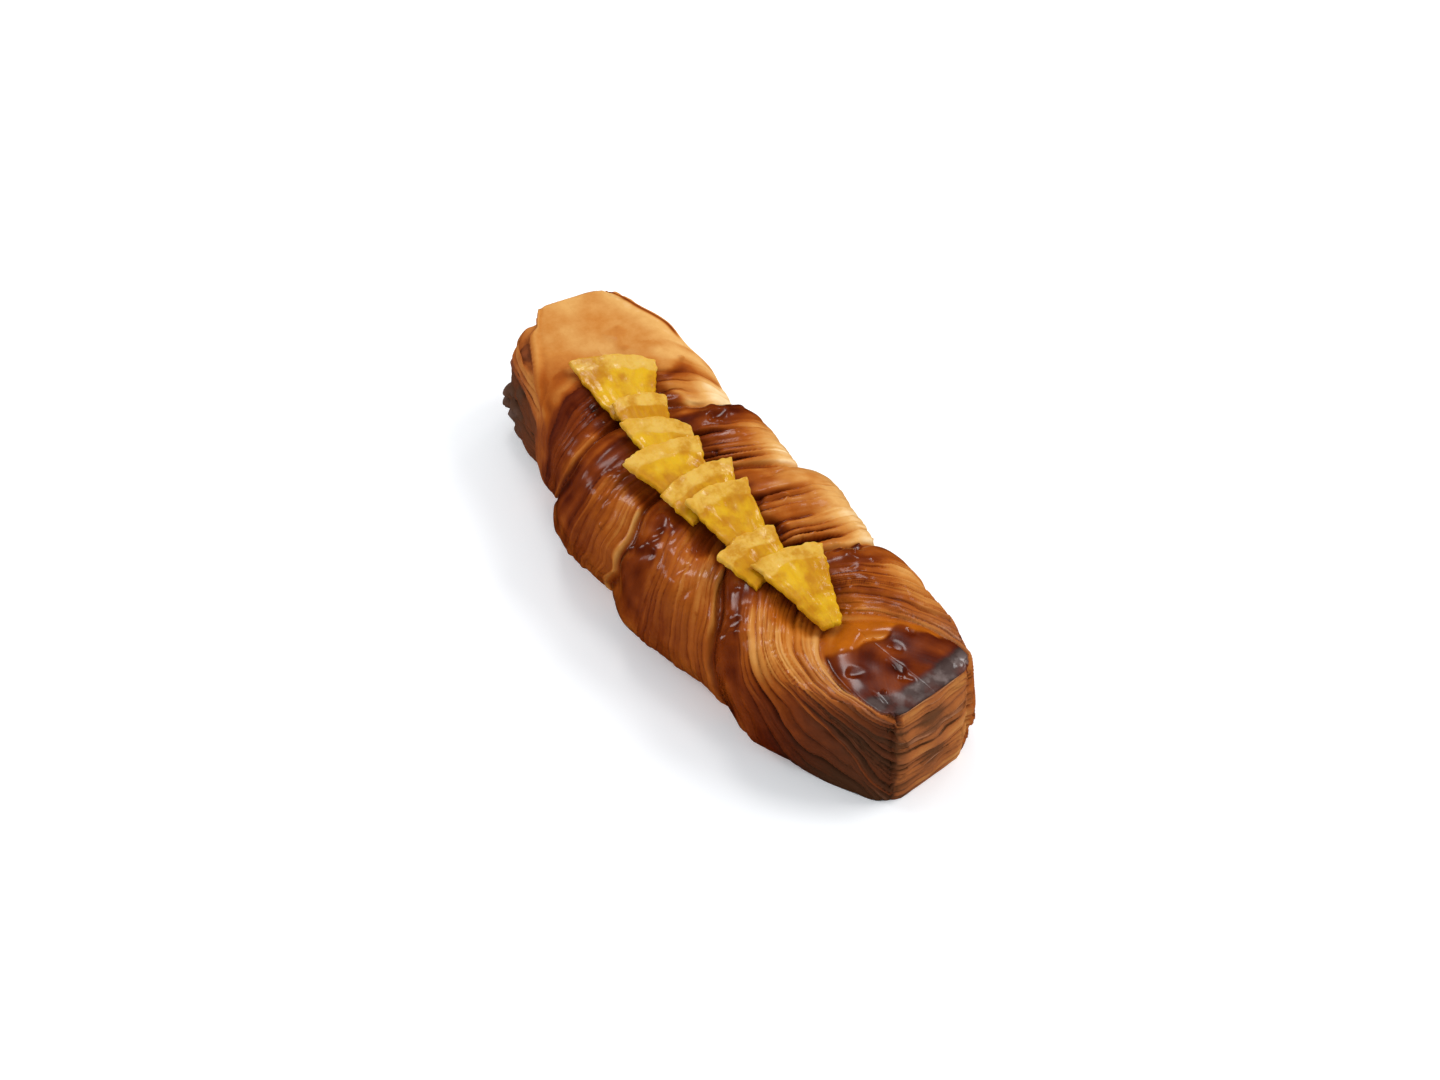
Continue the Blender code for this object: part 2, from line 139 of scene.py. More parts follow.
doughLook = {
    # left and right strand, for each half turn from the far end: share that is smooth glazed skin, where 9
    # leaves no cut layers, then browning and gloss of the skin, and browning and gloss of the cut layers
    "bands": (
        ((0.0, 0.56, 0.2, 0.56, 0.2), (0.6, 0.28, 0.15, 0.66, 0.6), (0.42, 0.72, 0.75, 0.5, 0.75),
         (0.36, 0.7, 0.95, 0.46, 0.75), (0.38, 0.7, 1.0, 0.36, 0.6), (9.0, 0.76, 1.0, 0.5, 0.5)),
        ((0.0, 0.5, 0.2, 0.5, 0.2), (0.66, 0.28, 0.15, 0.34, 0.4), (0.46, 0.64, 0.8, 0.43, 0.6),
         (0.38, 0.46, 0.65, 0.42, 0.6), (0.38, 0.68, 0.9, 0.55, 0.55), (9.0, 0.76, 1.0, 0.5, 0.5))),
    # number of the layer at these half turns
    "layersAt": (-3.0, 3.0, 3.46, 3.60, 3.75, 8.0),
    "layers": ((-54.0, 54.0, 62.5, 69.0, 72.2, 148.0), (-12.0, 54.0, 62.5, 69.0, 72.2, 148.0)),
    "layersPerHeight": 2.6, "layerKinds": 400, "fullWidth": 0.20,
    "layerDepth": 0.09, "layerTone": 0.05, "creviceShade": 0.06,
    "startBrown": 0.14, "crispPale": 0.07, "stripBrown": 0.36, "streakEdge": 0.05, "lowBrownAndShade": 0.12,
    "crispWidth": 0.018, "endDepth": 0.15, "flakeReach": 0.16, "lipHeight": 0.018, "rollHeight": 0.06,
    "troughDepth": 0.04, "patchHeight": 0.03, "grooveDepth": 0.05, "lowSide": (118, 154),
    "poolBrown": 0.58, "patchBrown": 0.79, "grooveBrownAndShade": 0.74, "seamBrown": 0.235, "underBrown": 0.55,
    "endGloss": 0.15, "poolGloss": 0.80, "patchGloss": 0.74, "grooveGloss": 0.75, "sheenX": 8.05,
    # browning of the far left flank at its top and its foot, and of the far end face
    "flankBrown": (0.36, 0.82, 0.64),
    # strength of the dark gaps, painted shade and sunken bump, up to half turn 3 and past it, left and right
    "gapStrength": ((0.24, 0.42), (0.70, 0.45)),
    # where the orange pool at the near end gives way to the dark patch, and that to its burnt band
    "patchY": (-1.0, -0.62, -0.29, 0.16, 0.65, 1.15, 1.62, 1.91, 2.05),
    "patchX": (5.85, 5.95, 6.09, 6.21, 6.23, 6.24, 6.38, 6.62, 7.0),
    "burntX": (7.68, 7.68, 7.76, 7.92, 7.90, 7.80, 7.68, 7.60, 7.60),
    # how far the dark glaze beside the orange reaches from the groove
    "bankX": (-5.0, -4.2, -3.0, -2.0, -1.0, 0.0, 1.0, 2.0, 3.0, 4.0, 5.0, 5.7),
    "bankEnds": (-5.2, -4.4, 4.9, 5.6),
    "banks": ((0.9, 1.2, 1.6, 1.95, 1.85, 1.65, 1.6, 1.4, 1.5, 1.45, 1.05, 0.75),
              (1.0, 1.1, 0.9, 0.8, 0.85, 0.9, 0.65, 0.55, 0.6, 0.6, 0.6, 0.6)),
    # the glazed skin narrows down the outer side: share left at these angles
    "skinAngle": (90, 102, 121, 142, 156, 180, 225), "skinLeft": (0.90, 0.82, 0.71, 0.56, 0.50, 0.45, 0.42),
    # swells: length and height of the wide and the small ones
    "lumps": ((1.7, 0.030), (0.7, 0.010)),
    "rimX": (-8.42, -7.85, -6.6, -5.7, -5.0, -4.4), "rimAngle": (108, 111, 121, 136, 143, 150),
    # blisters and pits: place, radius, height, added browning, added gloss; in the pits beside the orange the
    # added browning is painted shade
    "blisters": (
        (0.37, -2.26, 3.4, 0.22, 0.07, 0.14, 0.3), (0.79, -2.35, 3.36, 0.2, 0.06, 0.12, 0.3),
        (0.3, -2.45, 3.24, 0.18, 0.05, 0.12, 0.3), (0.37, -1.69, 3.59, 0.28, 0.05, 0.1, 0.3),
        (3.94, -1.97, 3.28, 0.3, 0.08, 0.06, 0.2), (3.92, -2.16, 3.02, 0.22, 0.05, 0.05, 0.2),
        (3.46, 1.73, 3.42, 0.36, 0.08, 0.04, 0.2), (4.3, 1.47, 3.54, 0.3, 0.06, 0.05, 0.2),
        (-2.96, 1.88, 3.25, 0.3, 0.07, 0.0, 0.3), (-2.48, 1.52, 3.54, 0.26, 0.06, 0.0, 0.3),
        (2.37, 1.02, 3.37, 0.3, 0.08, -0.12, 0.2), (-6.49, 1.0, 3.4, 0.26, 0.05, 0.16, 0.3),
        (0.72, 0.51, 3.48, 0.22, -0.12, 0.3, 0.0), (1.65, 0.56, 3.38, 0.22, -0.12, 0.3, 0.0),
        (-4.56, -0.92, 3.43, 0.25, -0.04, 0.25, 0.4)),
    "smallBlisters": 30,
    # facets of glaze that mirror a lamp: place, and reach along and across the pastry. The second list has
    # the normals that send the light of four lamps to the camera
    "glints": (
        (6.79, -0.31, 3.42, 0.2, 0.19), (7.18, 0.66, 3.39, 0.48, 0.13), (6.66, 1.02, 3.4, 0.2, 0.16),
        (6.44, 1.62, 3.39, 0.14, 0.16), (7.98, 2.05, 3.37, 0.16, 0.2), (7.75, -0.29, 3.37, 0.22, 0.05),
        (3.8, -1.93, 3.27, 0.17, 0.17), (3.74, -2.2, 2.94, 0.12, 0.12), (0.33, -2.0, 3.52, 0.1, 0.16),
        (0.78, -1.82, 3.56, 0.09, 0.2), (0.65, -2.43, 3.31, 0.12, 0.12), (1.6, -2.14, 3.39, 0.08, 0.26),
        (2.16, -2.25, 3.22, 0.07, 0.24), (-1.57, -2.35, 3.33, 0.08, 0.22), (-2.0, -1.71, 3.58, 0.08, 0.3),
        (-2.31, 1.59, 3.57, 0.14, 0.22), (-1.73, 1.47, 3.6, 0.1, 0.24), (3.24, 2.06, 3.25, 0.2, 0.26),
        (3.23, 1.59, 3.33, 0.14, 0.18), (0.11, 1.87, 3.46, 0.1, 0.3), (4.93, 0.8, 3.29, 0.1, 0.12),
        (5.81, -1.63, 3.27, 0.1, 0.1), (6.34, -1.64, 3.17, 0.12, 0.09)),
    "mirrors": (
        (0.098, -0.132, 0.986), (-0.096, -0.577, 0.811), (0.229, 0.189, 0.955), (0.047, -0.526, 0.849)),
    # orange syrup: place, radius, strength
    "syrup": (
        (5.66, 0.51, 3.41, 0.6, 1.0), (5.97, -0.09, 3.43, 0.45, 0.9), (6.13, 0.56, 3.41, 0.4, 0.8),
        (4.11, -0.95, 3.53, 0.4, 0.5), (4.72, -0.74, 3.39, 0.55, 0.9), (5.18, -1.2, 3.4, 0.5, 0.6),
        (4.85, 0.85, 3.31, 0.45, 0.6)),
}


def halfTurns(x, degrees, side):
    # half turns the dough has made at each station, seen at each angle; whole on a crisp edge. The edges
    # repeat past both ends, and the turn goes evenly from one to the next
    form = strandForm
    rows = np.array(form["crisp"][int(side > 0)], float)
    turn = form["halfTurn"]
    rows = np.vstack([rows[0] - 2 * turn, rows[0] - turn, rows, rows[-1] + turn, rows[-1] + 2 * turn])
    count = len(rows)
    starts = np.append(rows[:, 0], [rows[-1, 0] + turn, rows[-1, 0] + 2 * turn])
    knots = np.append(form["angles"], form["angles"][0] + 360.0)
    lines = np.array([curve(degrees, knots, np.append(rows[k], starts[k + 2])) for k in range(count)])
    lines = np.maximum.accumulate(lines + np.arange(count)[:, None] * 1e-3, 0)
    return np.stack([np.interp(x, lines[:, j], np.arange(count) - 2.0) for j in range(len(degrees))], 1)


def bow(points):
    # sideways bow of the whole pastry: y grows with x squared, and x turns with it
    x, y, z = points[..., 0], points[..., 1], points[..., 2]
    slope = 2 * strandForm["sway"] * x
    length = np.sqrt(1 + slope * slope)
    return np.stack([x - y * slope / length, strandForm["sway"] * x * x + y / length, z], -1)


def grooveLine(x):
    return curve(x, strandForm["grooveX"], strandForm["grooveY"])


def strandReach(x, side):
    # from the groove's line to the outer side
    return curve(x, strandForm["edgeX"], strandForm["edges"][int(side > 0)]) - side * grooveLine(x)


def strandShape(side, x, sideId, share):
    # bare form: at each station along x a ring of top, outer side, underside and inner side. In the middle it
    # is a rounded square, whose radius is one over the n-th root of cosine to the n plus sine to the n, and
    # swells over each half turn. At the ends it is a rectangle
    form, which = strandForm, int(side > 0)
    x, sideId, share = x.reshape(-1, 1), sideId[None], share[None]
    degrees = 45 + 90 * (sideId + share)
    angle = np.radians(degrees)
    reach, crest = strandReach(x, side), curve(x, form["crestX"], form["crestZ"])
    width, centre = (reach + form["overlap"]) / 2, (reach - form["overlap"]) / 2
    high = (crest + form["baseCut"]) / 2
    turn = halfTurns(x[:, 0], degrees[0], side)
    shown = 1 - plateau(degrees, *form["underFade"])
    lobe = 1 + (curve(turn - np.floor(turn), form["lobeAt"], form["lobeSize"]) - 1) * shown
    c, s = np.cos(angle), np.sin(angle)
    facing = step(np.where(degrees > 270, degrees - 360, degrees), *form["innerFade"])
    power = form["roundPower"] + (form["innerPower"] - form["roundPower"]) * facing
    size = lobe * (np.abs(c) ** power + np.abs(s) ** power) ** (-1 / power)
    roundP, roundQ = -width * c * size, crest - high + high * s * size
    # a share of the points of the top and of the underside lies where the strands overlap
    lap, over = form["lapPoints"], form["overlap"] / (2 * width)
    inward = np.where(sideId == 2, 1 - share, share)
    topShare = np.where(inward < lap, inward / lap * over, over + (inward - lap) / (1 - lap) * (1 - over))
    one = np.ones_like(topShare * x)
    cases = [sideId == 0, sideId == 1, sideId == 2, sideId == 3]
    blockP = width * np.select(cases, [2 * topShare - 1, one, 2 * topShare - 1, -one])
    upper, lower = crest * one, -form["baseCut"] * one
    drop = (lower - upper) * share
    blockQ = np.select(cases, [upper, upper + drop, lower, lower - drop])
    rounding = step(form["endX"] - x, *form["nearBlend"]) * step(form["endX"] + x, *form["farBlend"])
    opened = plateau(x, *form["grooveEnds"])
    rounding = rounding * (1 - plateau(degrees, *form["squareFade"])) * (1 - facing * (1 - opened))
    p, q = blockP + (roundP - blockP) * rounding, blockQ + (roundQ - blockQ) * rounding
    swell = np.where(x > 0, form["nearSwell"][which], form["farSwell"][which])
    belly = np.sin(np.pi * np.clip(q / crest, 0, 1)) ** 0.8
    p += (1 - rounding) * swell * belly * np.clip(p / width, 0, 1)
    past = centre + p
    waist = form["waistZ"]
    q = q - form["dip"] * np.clip(-past, 0, None) * np.clip((q - waist) / waist, -1, 1)
    return np.stack([x + 0 * p, grooveLine(x) + side * past, q], -1), turn, degrees + 0 * q, past


def endFace(end, edge, count):
    # rings that shrink in straight lines from the strand's last ring to a pole. The layers run on across the
    # face: the turn at a share of its height is read off both outer corners and blended from left to right
    pole = np.array([edge[0, 0], edge[:, 1].mean(), strandForm["poleZ"]])
    inward = (np.arange(1, count) / count)[:, None, None]
    face = edge[None] * (1 - inward) + pole * inward
    tall = np.clip(face[..., 2] / edge[:, 2].max(), 0, 1)
    at, shares = np.array([end * strandForm["endX"]]), np.arange(60) / 59
    outer = [strandShape(side, at, np.ones(60, int), shares)[:2] for side in (-1, 1)]
    left, right = (np.interp(tall, ring[0, ::-1, 2] / ring[0, 0, 2], turn[0, ::-1]) for ring, turn in outer)
    across = step(face[..., 1], *(ring[0, 30, 1] for ring, turn in outer))
    return face, left + (right - left) * across, np.repeat(inward[..., 0], edge.shape[0], 1)


def strandGrid(side):
    # the rings of the far end face, of the stations and of the near end face. Gives the angle of each column,
    # then the bare points, half turns, angles, distances past the groove and shares of the way to a pole
    form = strandForm
    sideId = np.repeat(np.arange(4), form["around"])
    share = np.concatenate([np.arange(n) / n for n in form["around"]])
    x = np.linspace(-form["endX"], form["endX"], form["stations"])
    tube, turn, degrees, past = strandShape(side, x, sideId, share)

    def cap(end, edge, count):
        face, faceTurn, inward = endFace(end, edge, count)
        return face, faceTurn, 0 * faceTurn + 170, side * (face[..., 1] - grooveLine(face[..., 0])), inward

    far = [value[::-1] for value in cap(-1, tube[0], form["capRings"][0])]
    near = cap(1, tube[-1], form["capRings"][1])
    middle = (tube, turn, degrees, past, np.zeros_like(turn))
    return 45 + 90 * (sideId + share), [np.concatenate(rows) for rows in zip(far, middle, near)]


def bandTone(k, turn, degrees, streak, side):
    # half turn k: glazed skin up to its share of the turn, then cut layers, brownest where they leave the
    # skin and palest at the crisp edge. Gives share of cut layers, browning and gloss
    look = doughLook
    table = np.array(look["bands"][int(side > 0)])[np.clip(k, -1, 4).astype(int) + 1]
    soft, skinBrown, skinGloss, cutBrown, cutGloss = np.moveaxis(table, -1, 0)
    part = np.clip(turn - k, 0.0, 1.0)
    soft = soft * np.where(k == 3, curve(degrees, look["skinAngle"], look["skinLeft"]), 1.0)
    if side > 0:
        soft += 0.05 * (k == 0) * bell(degrees, 85, 25)
    cut = step(part - soft + look["streakEdge"] * streak, -0.05, 0.08)
    across = np.clip((part - soft) / np.maximum(1 - soft, 0.1), 0, 1)
    layered = cutBrown + look["startBrown"] * (1 - across) ** 2 - look["crispPale"] * across ** 3
    return np.stack([cut, skinBrown * (1 - cut) + layered * cut, skinGloss * (1 - cut) + cutGloss * cut])


def doughLayers(side, straight, base, turn, flank, roundLength, onEnd):
    # a layer is a whole number of turn times layers per turn, or of height on the far left flank, shifted by
    # two sines so that no two are as wide. A ridge is the sine of pi times the place within the layer, a
    # crevice a bell at its border and a hairline a narrow bell at each third; all vary from layer to layer
    look = doughLook
    x, z = straight[..., 0], straight[..., 2]
    byTurn = np.interp(turn, look["layersAt"], look["layers"][int(side > 0)])
    even = byTurn * (1 - flank) + z * look["layersPerHeight"] * flank
    even = even - 1.4 * np.clip(2.1 - z, 0, None) * step(x, 5.6, 8.0)
    even += 0.28 * np.sin(1.7 * even) + 0.18 * np.sin(0.73 * even + 1.0)
    layer = even + 0.16 * ripples(base, 3.6, 11) + 0.05 * ripples(base, 1.1, 12)
    number, border = np.floor(layer), np.round(layer)
    # the right strand's layers have their own strengths, but both share those that meet at the ends
    kinds = look["layerKinds"]
    offset = np.where(onEnd | (side < 0) | (turn > 3), 0, 100)
    index, borderIndex = ((number + offset) % kinds).astype(int), ((border + offset) % kinds).astype(int)
    dice = np.random.default_rng(5)
    ridgeHeight, tone = dice.uniform(0.35, 1.0, kinds), np.clip(dice.normal(size=kinds), -1.6, 1.6)
    borderDepth = dice.uniform(0.0, 1.0, kinds)
    # every third border near the near end is deeper
    borderDepth[54::3] += 0.8
    main = np.where(onEnd, np.where(border % 4 == 1, 1.5, 0.45), 1.0)

    def along(which, size, seed):
        wave = ripples(np.stack([which * 3.7, roundLength, 0.6 * x], -1), size, seed)
        return 0.5 + 0.5 * np.clip(wave, -1, 1)

    vary, borderVary = along(number, 2.2, 13), along(border, 1.8, 14)
    ridge = np.sin(np.pi * (layer - number) ** 0.75) ** 0.7 * ridgeHeight[index] * (0.45 + 0.55 * vary)
    crevice = bell(layer, border, 0.14) * borderDepth[borderIndex] * (0.25 + 0.75 * borderVary) * main
    third = np.round(layer * 3)
    hairline = bell(layer * 3, third, 0.20) * (np.sin(third * 12.9) * 0.5 + 0.5)
    hairline = hairline * (np.abs(third / 3 - border) > 0.1)
    return layer, even, number, tone[index], vary, main, ridge, crevice, hairline


def gridSteps(base, side):
    # outward normal, and the length of a step along and round the strand, from differences over the grid
    along = np.gradient(base, axis=0)
    about = (np.roll(base, -1, 1) - np.roll(base, 1, 1)) / 2
    normal = np.cross(along, about) * side
    normal /= np.maximum(np.linalg.norm(normal, axis=-1, keepdims=True), 1e-9)
    return (normal, np.maximum(np.linalg.norm(along, axis=-1), 1e-3),
            np.maximum(np.linalg.norm(about, axis=-1), 1e-3))


def layerWidth(even, stepAlong, stepAbout):
    # one over the slope of the layer number, in centimetres; the ring's first and last columns have the jump
    # from the end of the turn to its start, so they take their neighbours' slope
    slope = (np.roll(even, -1, 1) - np.roll(even, 1, 1)) / 2 / stepAbout
    slope[:, :1] = slope[:, 1:2]
    slope[:, -1:] = slope[:, -2:-1]
    return 1 / np.maximum(np.hypot(np.gradient(even, axis=0) / stepAlong, slope), 0.5)


def addBlisters(base, cut, patch, relief, bake, gloss):
    # a bell of height, browning and gloss for each blister; the small ones fall at random on glazed skin
    look = doughLook
    for *place, radius, height, brown, shine in look["blisters"]:
        far = np.linalg.norm((base - place) * (1, 1, 0.7071), axis=-1)
        spot = bell(far * (1 + 0.25 * ripples(base, 0.5, int(1000 + 10 * place[0]))), 0, radius)
        relief, bake, gloss = relief + height * spot, bake + brown * spot, gloss + shine * spot
    count = look["smallBlisters"]
    dice = np.random.default_rng(8)
    places = np.stack([dice.uniform(*span, count) for span in ((-6.5, 8.2), (-3, 3), (1.5, 3.6))], -1)
    radii, heights = dice.uniform(0.10, 0.24, count), dice.uniform(0.01, 0.03, count)
    glazed = (1 - cut) * (1 - 0.85 * patch) * np.clip(gloss + 0.3, 0, 1)
    for place, radius, height in zip(places, radii, heights):
        spot = bell(np.linalg.norm((base - place) * (1, 1, 0.3), axis=-1), 0, radius) * glazed
        relief, bake = relief + height * spot, bake + 0.05 * spot
    return relief, bake, gloss


def addGlints(base, normal, hidden, onEnd, relief, gloss, cut):
    # facets of glaze: within a bell the relief gives way to a plane whose normal mirrors a lamp. On the near
    # top the plane is tilted from level, elsewhere from the skin
    mirrors = np.array(doughLook["mirrors"])
    wavy = 1 + 0.15 * ripples(base, 0.4, 61)
    for *place, reachAlong, reachAcross in doughLook["glints"]:
        offset = base - place
        nearest = np.argmin(np.linalg.norm(offset, axis=-1) + 9.0 * hidden)
        facing = np.array([0.0, 0.0, 1.0]) if place[0] > 6 else normal.reshape(-1, 3)[nearest]
        wanted = mirrors[np.argmax(mirrors @ facing)]
        tilt = wanted / (wanted @ facing) - facing
        far = np.linalg.norm(offset / (reachAlong, reachAcross, 0.5), axis=-1) * wavy
        shape = bell(far ** 2, 0, 1) * ~onEnd
        relief = relief * (1 - 0.85 * shape) - (offset @ tilt) * shape
        gloss = np.maximum(gloss, 0.9 * shape)
        cut = cut * (1 - 0.8 * shape)
    return relief, gloss, cut


def shapeEnds(side, straight, past, shrunk, inner):
    # the end faces swell by a sine of their height, and their edge rings with them; the far end bulges out
    # between its corners. In plan a square corner is squeezed to a quarter circle: both its legs are
    # multiplied by the longer one over the length of the two
    form, x = strandForm, straight[..., 0]
    tall = np.clip(straight[..., 2] / form["endHeight"], 0, 1)
    outward, fromEdge = np.where(x > 0, 1.0, -1.0), np.abs(x) - form["endX"]
    swell = form["endSwell"] * np.sin(np.pi * tall) ** 0.7 - 0.5 * np.clip(-past, 0, None)
    onFace = np.maximum(0.45 + 0.55 * step(shrunk, 0, 0.14), inner)
    onEdge = np.maximum(0.45, inner) * step(fromEdge, -0.25, 0)
    farBow = np.clip(1 - (straight[..., 1] / form["farHalfWidth"]) ** 2, 0, 1) * step(x, -6.4, -8.4)
    moved = straight.copy()
    moved[..., 0] += outward * np.where(shrunk > 0, onFace, onEdge) * swell
    moved[..., 0] -= form["farBulge"] * farBow * step(tall, 0, 2 / 3)
    deep = np.where(x < 0, *form["cornerRound"][int(side > 0)])
    lengthwise = np.clip(fromEdge + deep, 0, None)
    crosswise = np.clip(past - strandReach(x, side) + deep, 0, None)
    squeeze = 1 - np.maximum(lengthwise, crosswise) / np.maximum(np.hypot(lengthwise, crosswise), 1e-6)
    squeeze = squeeze * (lengthwise > 0) * (crosswise > 0)
    moved[..., 0] -= outward * lengthwise * squeeze
    moved[..., 1] -= side * crosswise * squeeze
    return moved


def closedFaces(n, m, flip):
    # four-sided faces between n rings of m points, and a fan of triangles from each outer ring to its pole
    a = np.arange(n - 1)[:, None] * m + np.arange(m)[None]
    b = np.arange(n - 1)[:, None] * m + (np.arange(m)[None] + 1) % m
    quads = np.stack([a, b, b + m, a + m], -1).reshape(-1, 4)
    first, last = np.arange(m), (n - 1) * m + np.arange(m)
    farFan = np.stack([np.roll(first, -1), first, 0 * first + n * m], -1)
    nearFan = np.stack([last, np.roll(last, -1), 0 * last + n * m + 1], -1)
    order = -1 if flip else 1
    return [face for faces in (quads, farFan, nearFan) for face in faces[:, ::order].tolist()]


def withPoles(values):
    # the grid as one list of points, then each pole with the mean of the ring round it
    points = values.reshape((-1,) + values.shape[2:])
    return np.concatenate([points, values[:1].mean(1), values[-1:].mean(1)])


def strandSkin(side):
    # the bare form plus relief along its normal: depth times ridge less crevice, plus swells, blisters and
    # facets. The tones follow the same numbers, with painted shade in the crevices and painted light on the
    # ridges, and 0 is pale dough and 1 is burnt
    form, look, which = strandForm, doughLook, int(side > 0)
    angles, (straight, turn, degrees, past, shrunk) = strandGrid(side)
    x, z, base = straight[..., 0], straight[..., 2], bow(straight)
    ahead, y = base[..., 0], base[..., 1]
    tall = np.clip(z / form["endHeight"], 0, 1)
    onEnd = shrunk > 0
    body = ~onEnd
    farRings, nearRings = (count - 1 for count in form["capRings"])
    ends = ((np.s_[:farRings], farRings), (np.s_[-nearRings:], -nearRings - 1))
    ringAngle = angles[None] + 0 * x
    outside, inner = plateau(ringAngle, *form["outerRange"]), plateau(ringAngle, *form["innerRange"])
    # length round the strand, which runs on from its outer side across the end faces
    ringLength, atSide = ringAngle / 90 * form["sideLength"], 2 * form["sideLength"]
    faceLength = atSide + strandReach(x, side) - past + (ringLength - atSide) * outside * step(shrunk, 0.6, 0)
    roundLength = np.where(onEnd, faceLength, ringLength)

    # glazed skin and cut layers; a crisp edge blends the two half turns that meet there. The far top is plain
    plain = step(x, -5.0, -6.0) * (turn < 0.8)
    streak = ripples(np.stack([turn * 14, roundLength * 0.5, x * 0.4], -1), 2.2, 30) * (1 - plain)
    soften = look["crispWidth"]
    before, after = np.floor(turn - soften), np.floor(turn + soften)
    meet = np.where(after > before, step(turn - after, -soften, soften), 1.0)
    cut, bake, gloss = (bandTone(before, turn, degrees, streak, side) * (1 - meet)
                        + bandTone(after, turn, degrees, streak, side) * meet)
    part, toCrisp = turn - np.floor(turn), turn - np.round(turn)
    # the far left flank and both end faces are cut dough throughout
    rim = curve(x, look["rimX"], look["rimAngle"])
    flank = step(degrees, rim, rim + 5) * step(x, -4.7, -5.6) * (side < 0)
    flank = np.where(onEnd & (x < 0), 1.0, flank)
    cut = np.where(onEnd, 1.0, np.maximum(cut, flank))
    topBrown, footBrown, endBrown = look["flankBrown"]
    flankBrown = topBrown + (np.where(onEnd, endBrown, footBrown) - topBrown) * step(degrees, 140, 164)
    bake = bake * (1 - flank) + flankBrown * flank
    nearBrown = (0.45 + 0.10 * step(y, 0.6, -0.3) + 0.24 * step(y, 2.1, 0.9) * step(tall, 0.94, 0.74)
                 + 0.08 * ripples(base, 1.4, 52))
    bake = np.where(onEnd & (x > 0), nearBrown, bake)
    gloss = np.where(onEnd, look["endGloss"], gloss * (1 - 0.6 * flank))
    if side < 0:
        gloss = gloss * (1 - 0.75 * bell(turn, 0.66, 0.14))

    layer, even, number, tone, vary, main, ridge, crevice, hairline = doughLayers(
        side, straight, base, turn, flank, roundLength, onEnd)
    normal, stepAlong, stepAbout = gridSteps(base, side)
    spacing = layerWidth(even, stepAlong, stepAbout)
    depth = look["layerDepth"] * np.clip(spacing / look["fullWidth"], 0.15, 1.5) * (1 + 0.6 * flank)
    fading = step(degrees, 80, 120) * (turn < 3) * (side > 0)
    depth = depth * (1 - 0.65 * fading) * (1 + 0.9 * step(x, 5.0, 7.0))
    if side < 0:
        depth = depth * (1 - 0.40 * step(turn, 3.0, 2.9) * (1 - flank))
    fine = step(spacing / 3, 0.07, 0.13)
    calm = (1 - 3.6 * flank * (1 - flank)).clip(0, 1)

    # relief along the normal, and the tones that go with it: a lip and a pale strip before each crisp edge,
    # a trough with painted shade after it, and a roll of glazed skin beyond
    lowSide = step(degrees, *look["lowSide"])
    upper = body * step(z, 2.2, 2.7) * (degrees < 200)
    intoPatch = ahead - curve(y, look["patchY"], look["patchX"]) + 0.07 * ripples(base, 0.8, 45)
    patch = step(intoPatch, -0.10, 0.14) * step(turn, 3.99, 4.02) * upper
    pool = step(turn, 3.98, 4.03) * (1 - patch) * upper
    middle = (turn > 0.5) * (turn < 4.0) * body
    (wide, wideHeight), (small, smallHeight) = look["lumps"]
    relief = (wideHeight * (1 - 0.8 * patch) * ripples(base, wide, 20)
              + smallHeight * (1 - 0.7 * (1 - cut)) * ripples(base, small, 21))
    relief += cut * depth * calm * (ridge - 0.55 - 0.5 * crevice - 0.20 * hairline * fine)
    relief += (1 - cut) * (1 - patch) * 0.008 * streak
    relief += patch * (0.004 * ripples(base, 1.5, 33) + look["patchHeight"]) + pool * 0.018 * streak
    lip = bell(toCrisp, -0.035, 0.022) * middle * np.clip(0.7 + 0.3 * ripples(base, 1.5, 39), 0, 1)
    strip = plateau(toCrisp, -0.07, -0.04, -0.02, 0.0) * middle
    roll = bell(part, 0.19, 0.14) * step(part, 0, 0.08)
    trough = look["troughDepth"] * bell(toCrisp, 0.015, 0.035)
    relief += look["lipHeight"] * lip + middle * (look["rollHeight"] * roll - trough)
    bake = bake - (bake - look["stripBrown"]) * 0.40 * strip
    bolder = 1 + (step(x, 3.5, 5.5) if side < 0 else 0.5 * step(x, 5.0, 7.0))
    # cut layers: tone that differs from layer to layer, with painted shade in the crevices and hairlines and
    # painted light on the ridges
    layered = look["layerTone"] * tone * (0.4 + 0.8 * vary) + look["creviceShade"] * crevice - 0.05 * ridge
    bake += cut * calm * (layered * bolder + 0.05 * hairline * fine)
    skinTone = 0.05 * ripples(base, 1.3, 37) + 0.05 * streak + 0.03 * ripples(base, 0.45, 38)
    bake += (1 - cut) * middle * skinTone
    # paler lip, then painted shade in the trough just past the crisp edge
    bake = bake - lip * 0.14 + 0.14 * bell(toCrisp, 0.022, 0.03) * middle
    if side > 0:
        # a crease with painted shade in the first half turn, the brown corner at the far right, and the outer
        # side paler, partly lighter baking and partly painted light
        creaseAt = 0.71 + 0.05 * bell(degrees, 85, 25) + 0.015 * ripples(base, 1.2, 35)
        crease = bell(part, creaseAt, 0.04) * (turn > 0) * (turn < 1) * step(x, -6.8, -5.6)
        corner = bell(degrees, 131, 2.2) * step(x, -5.8, -6.3) * body
        relief = relief - 0.04 * crease + 0.02 * corner
        bake += 0.34 * crease * (0.5 + 0.5 * step(degrees, 70, 95)) + 0.6 * corner
        bake = bake - (0.14 + 0.14 * cut) * step(degrees, 96, 126) * step(x, 7.6, 4.6) * body
        bake = bake - 0.10 * step(degrees, 75, 100) * (1 - cut) * (turn > 2) * (turn < 3) * body
        bake += 0.20 * bell(turn, 1.2, 0.16) * step(degrees, 70, 100) * body
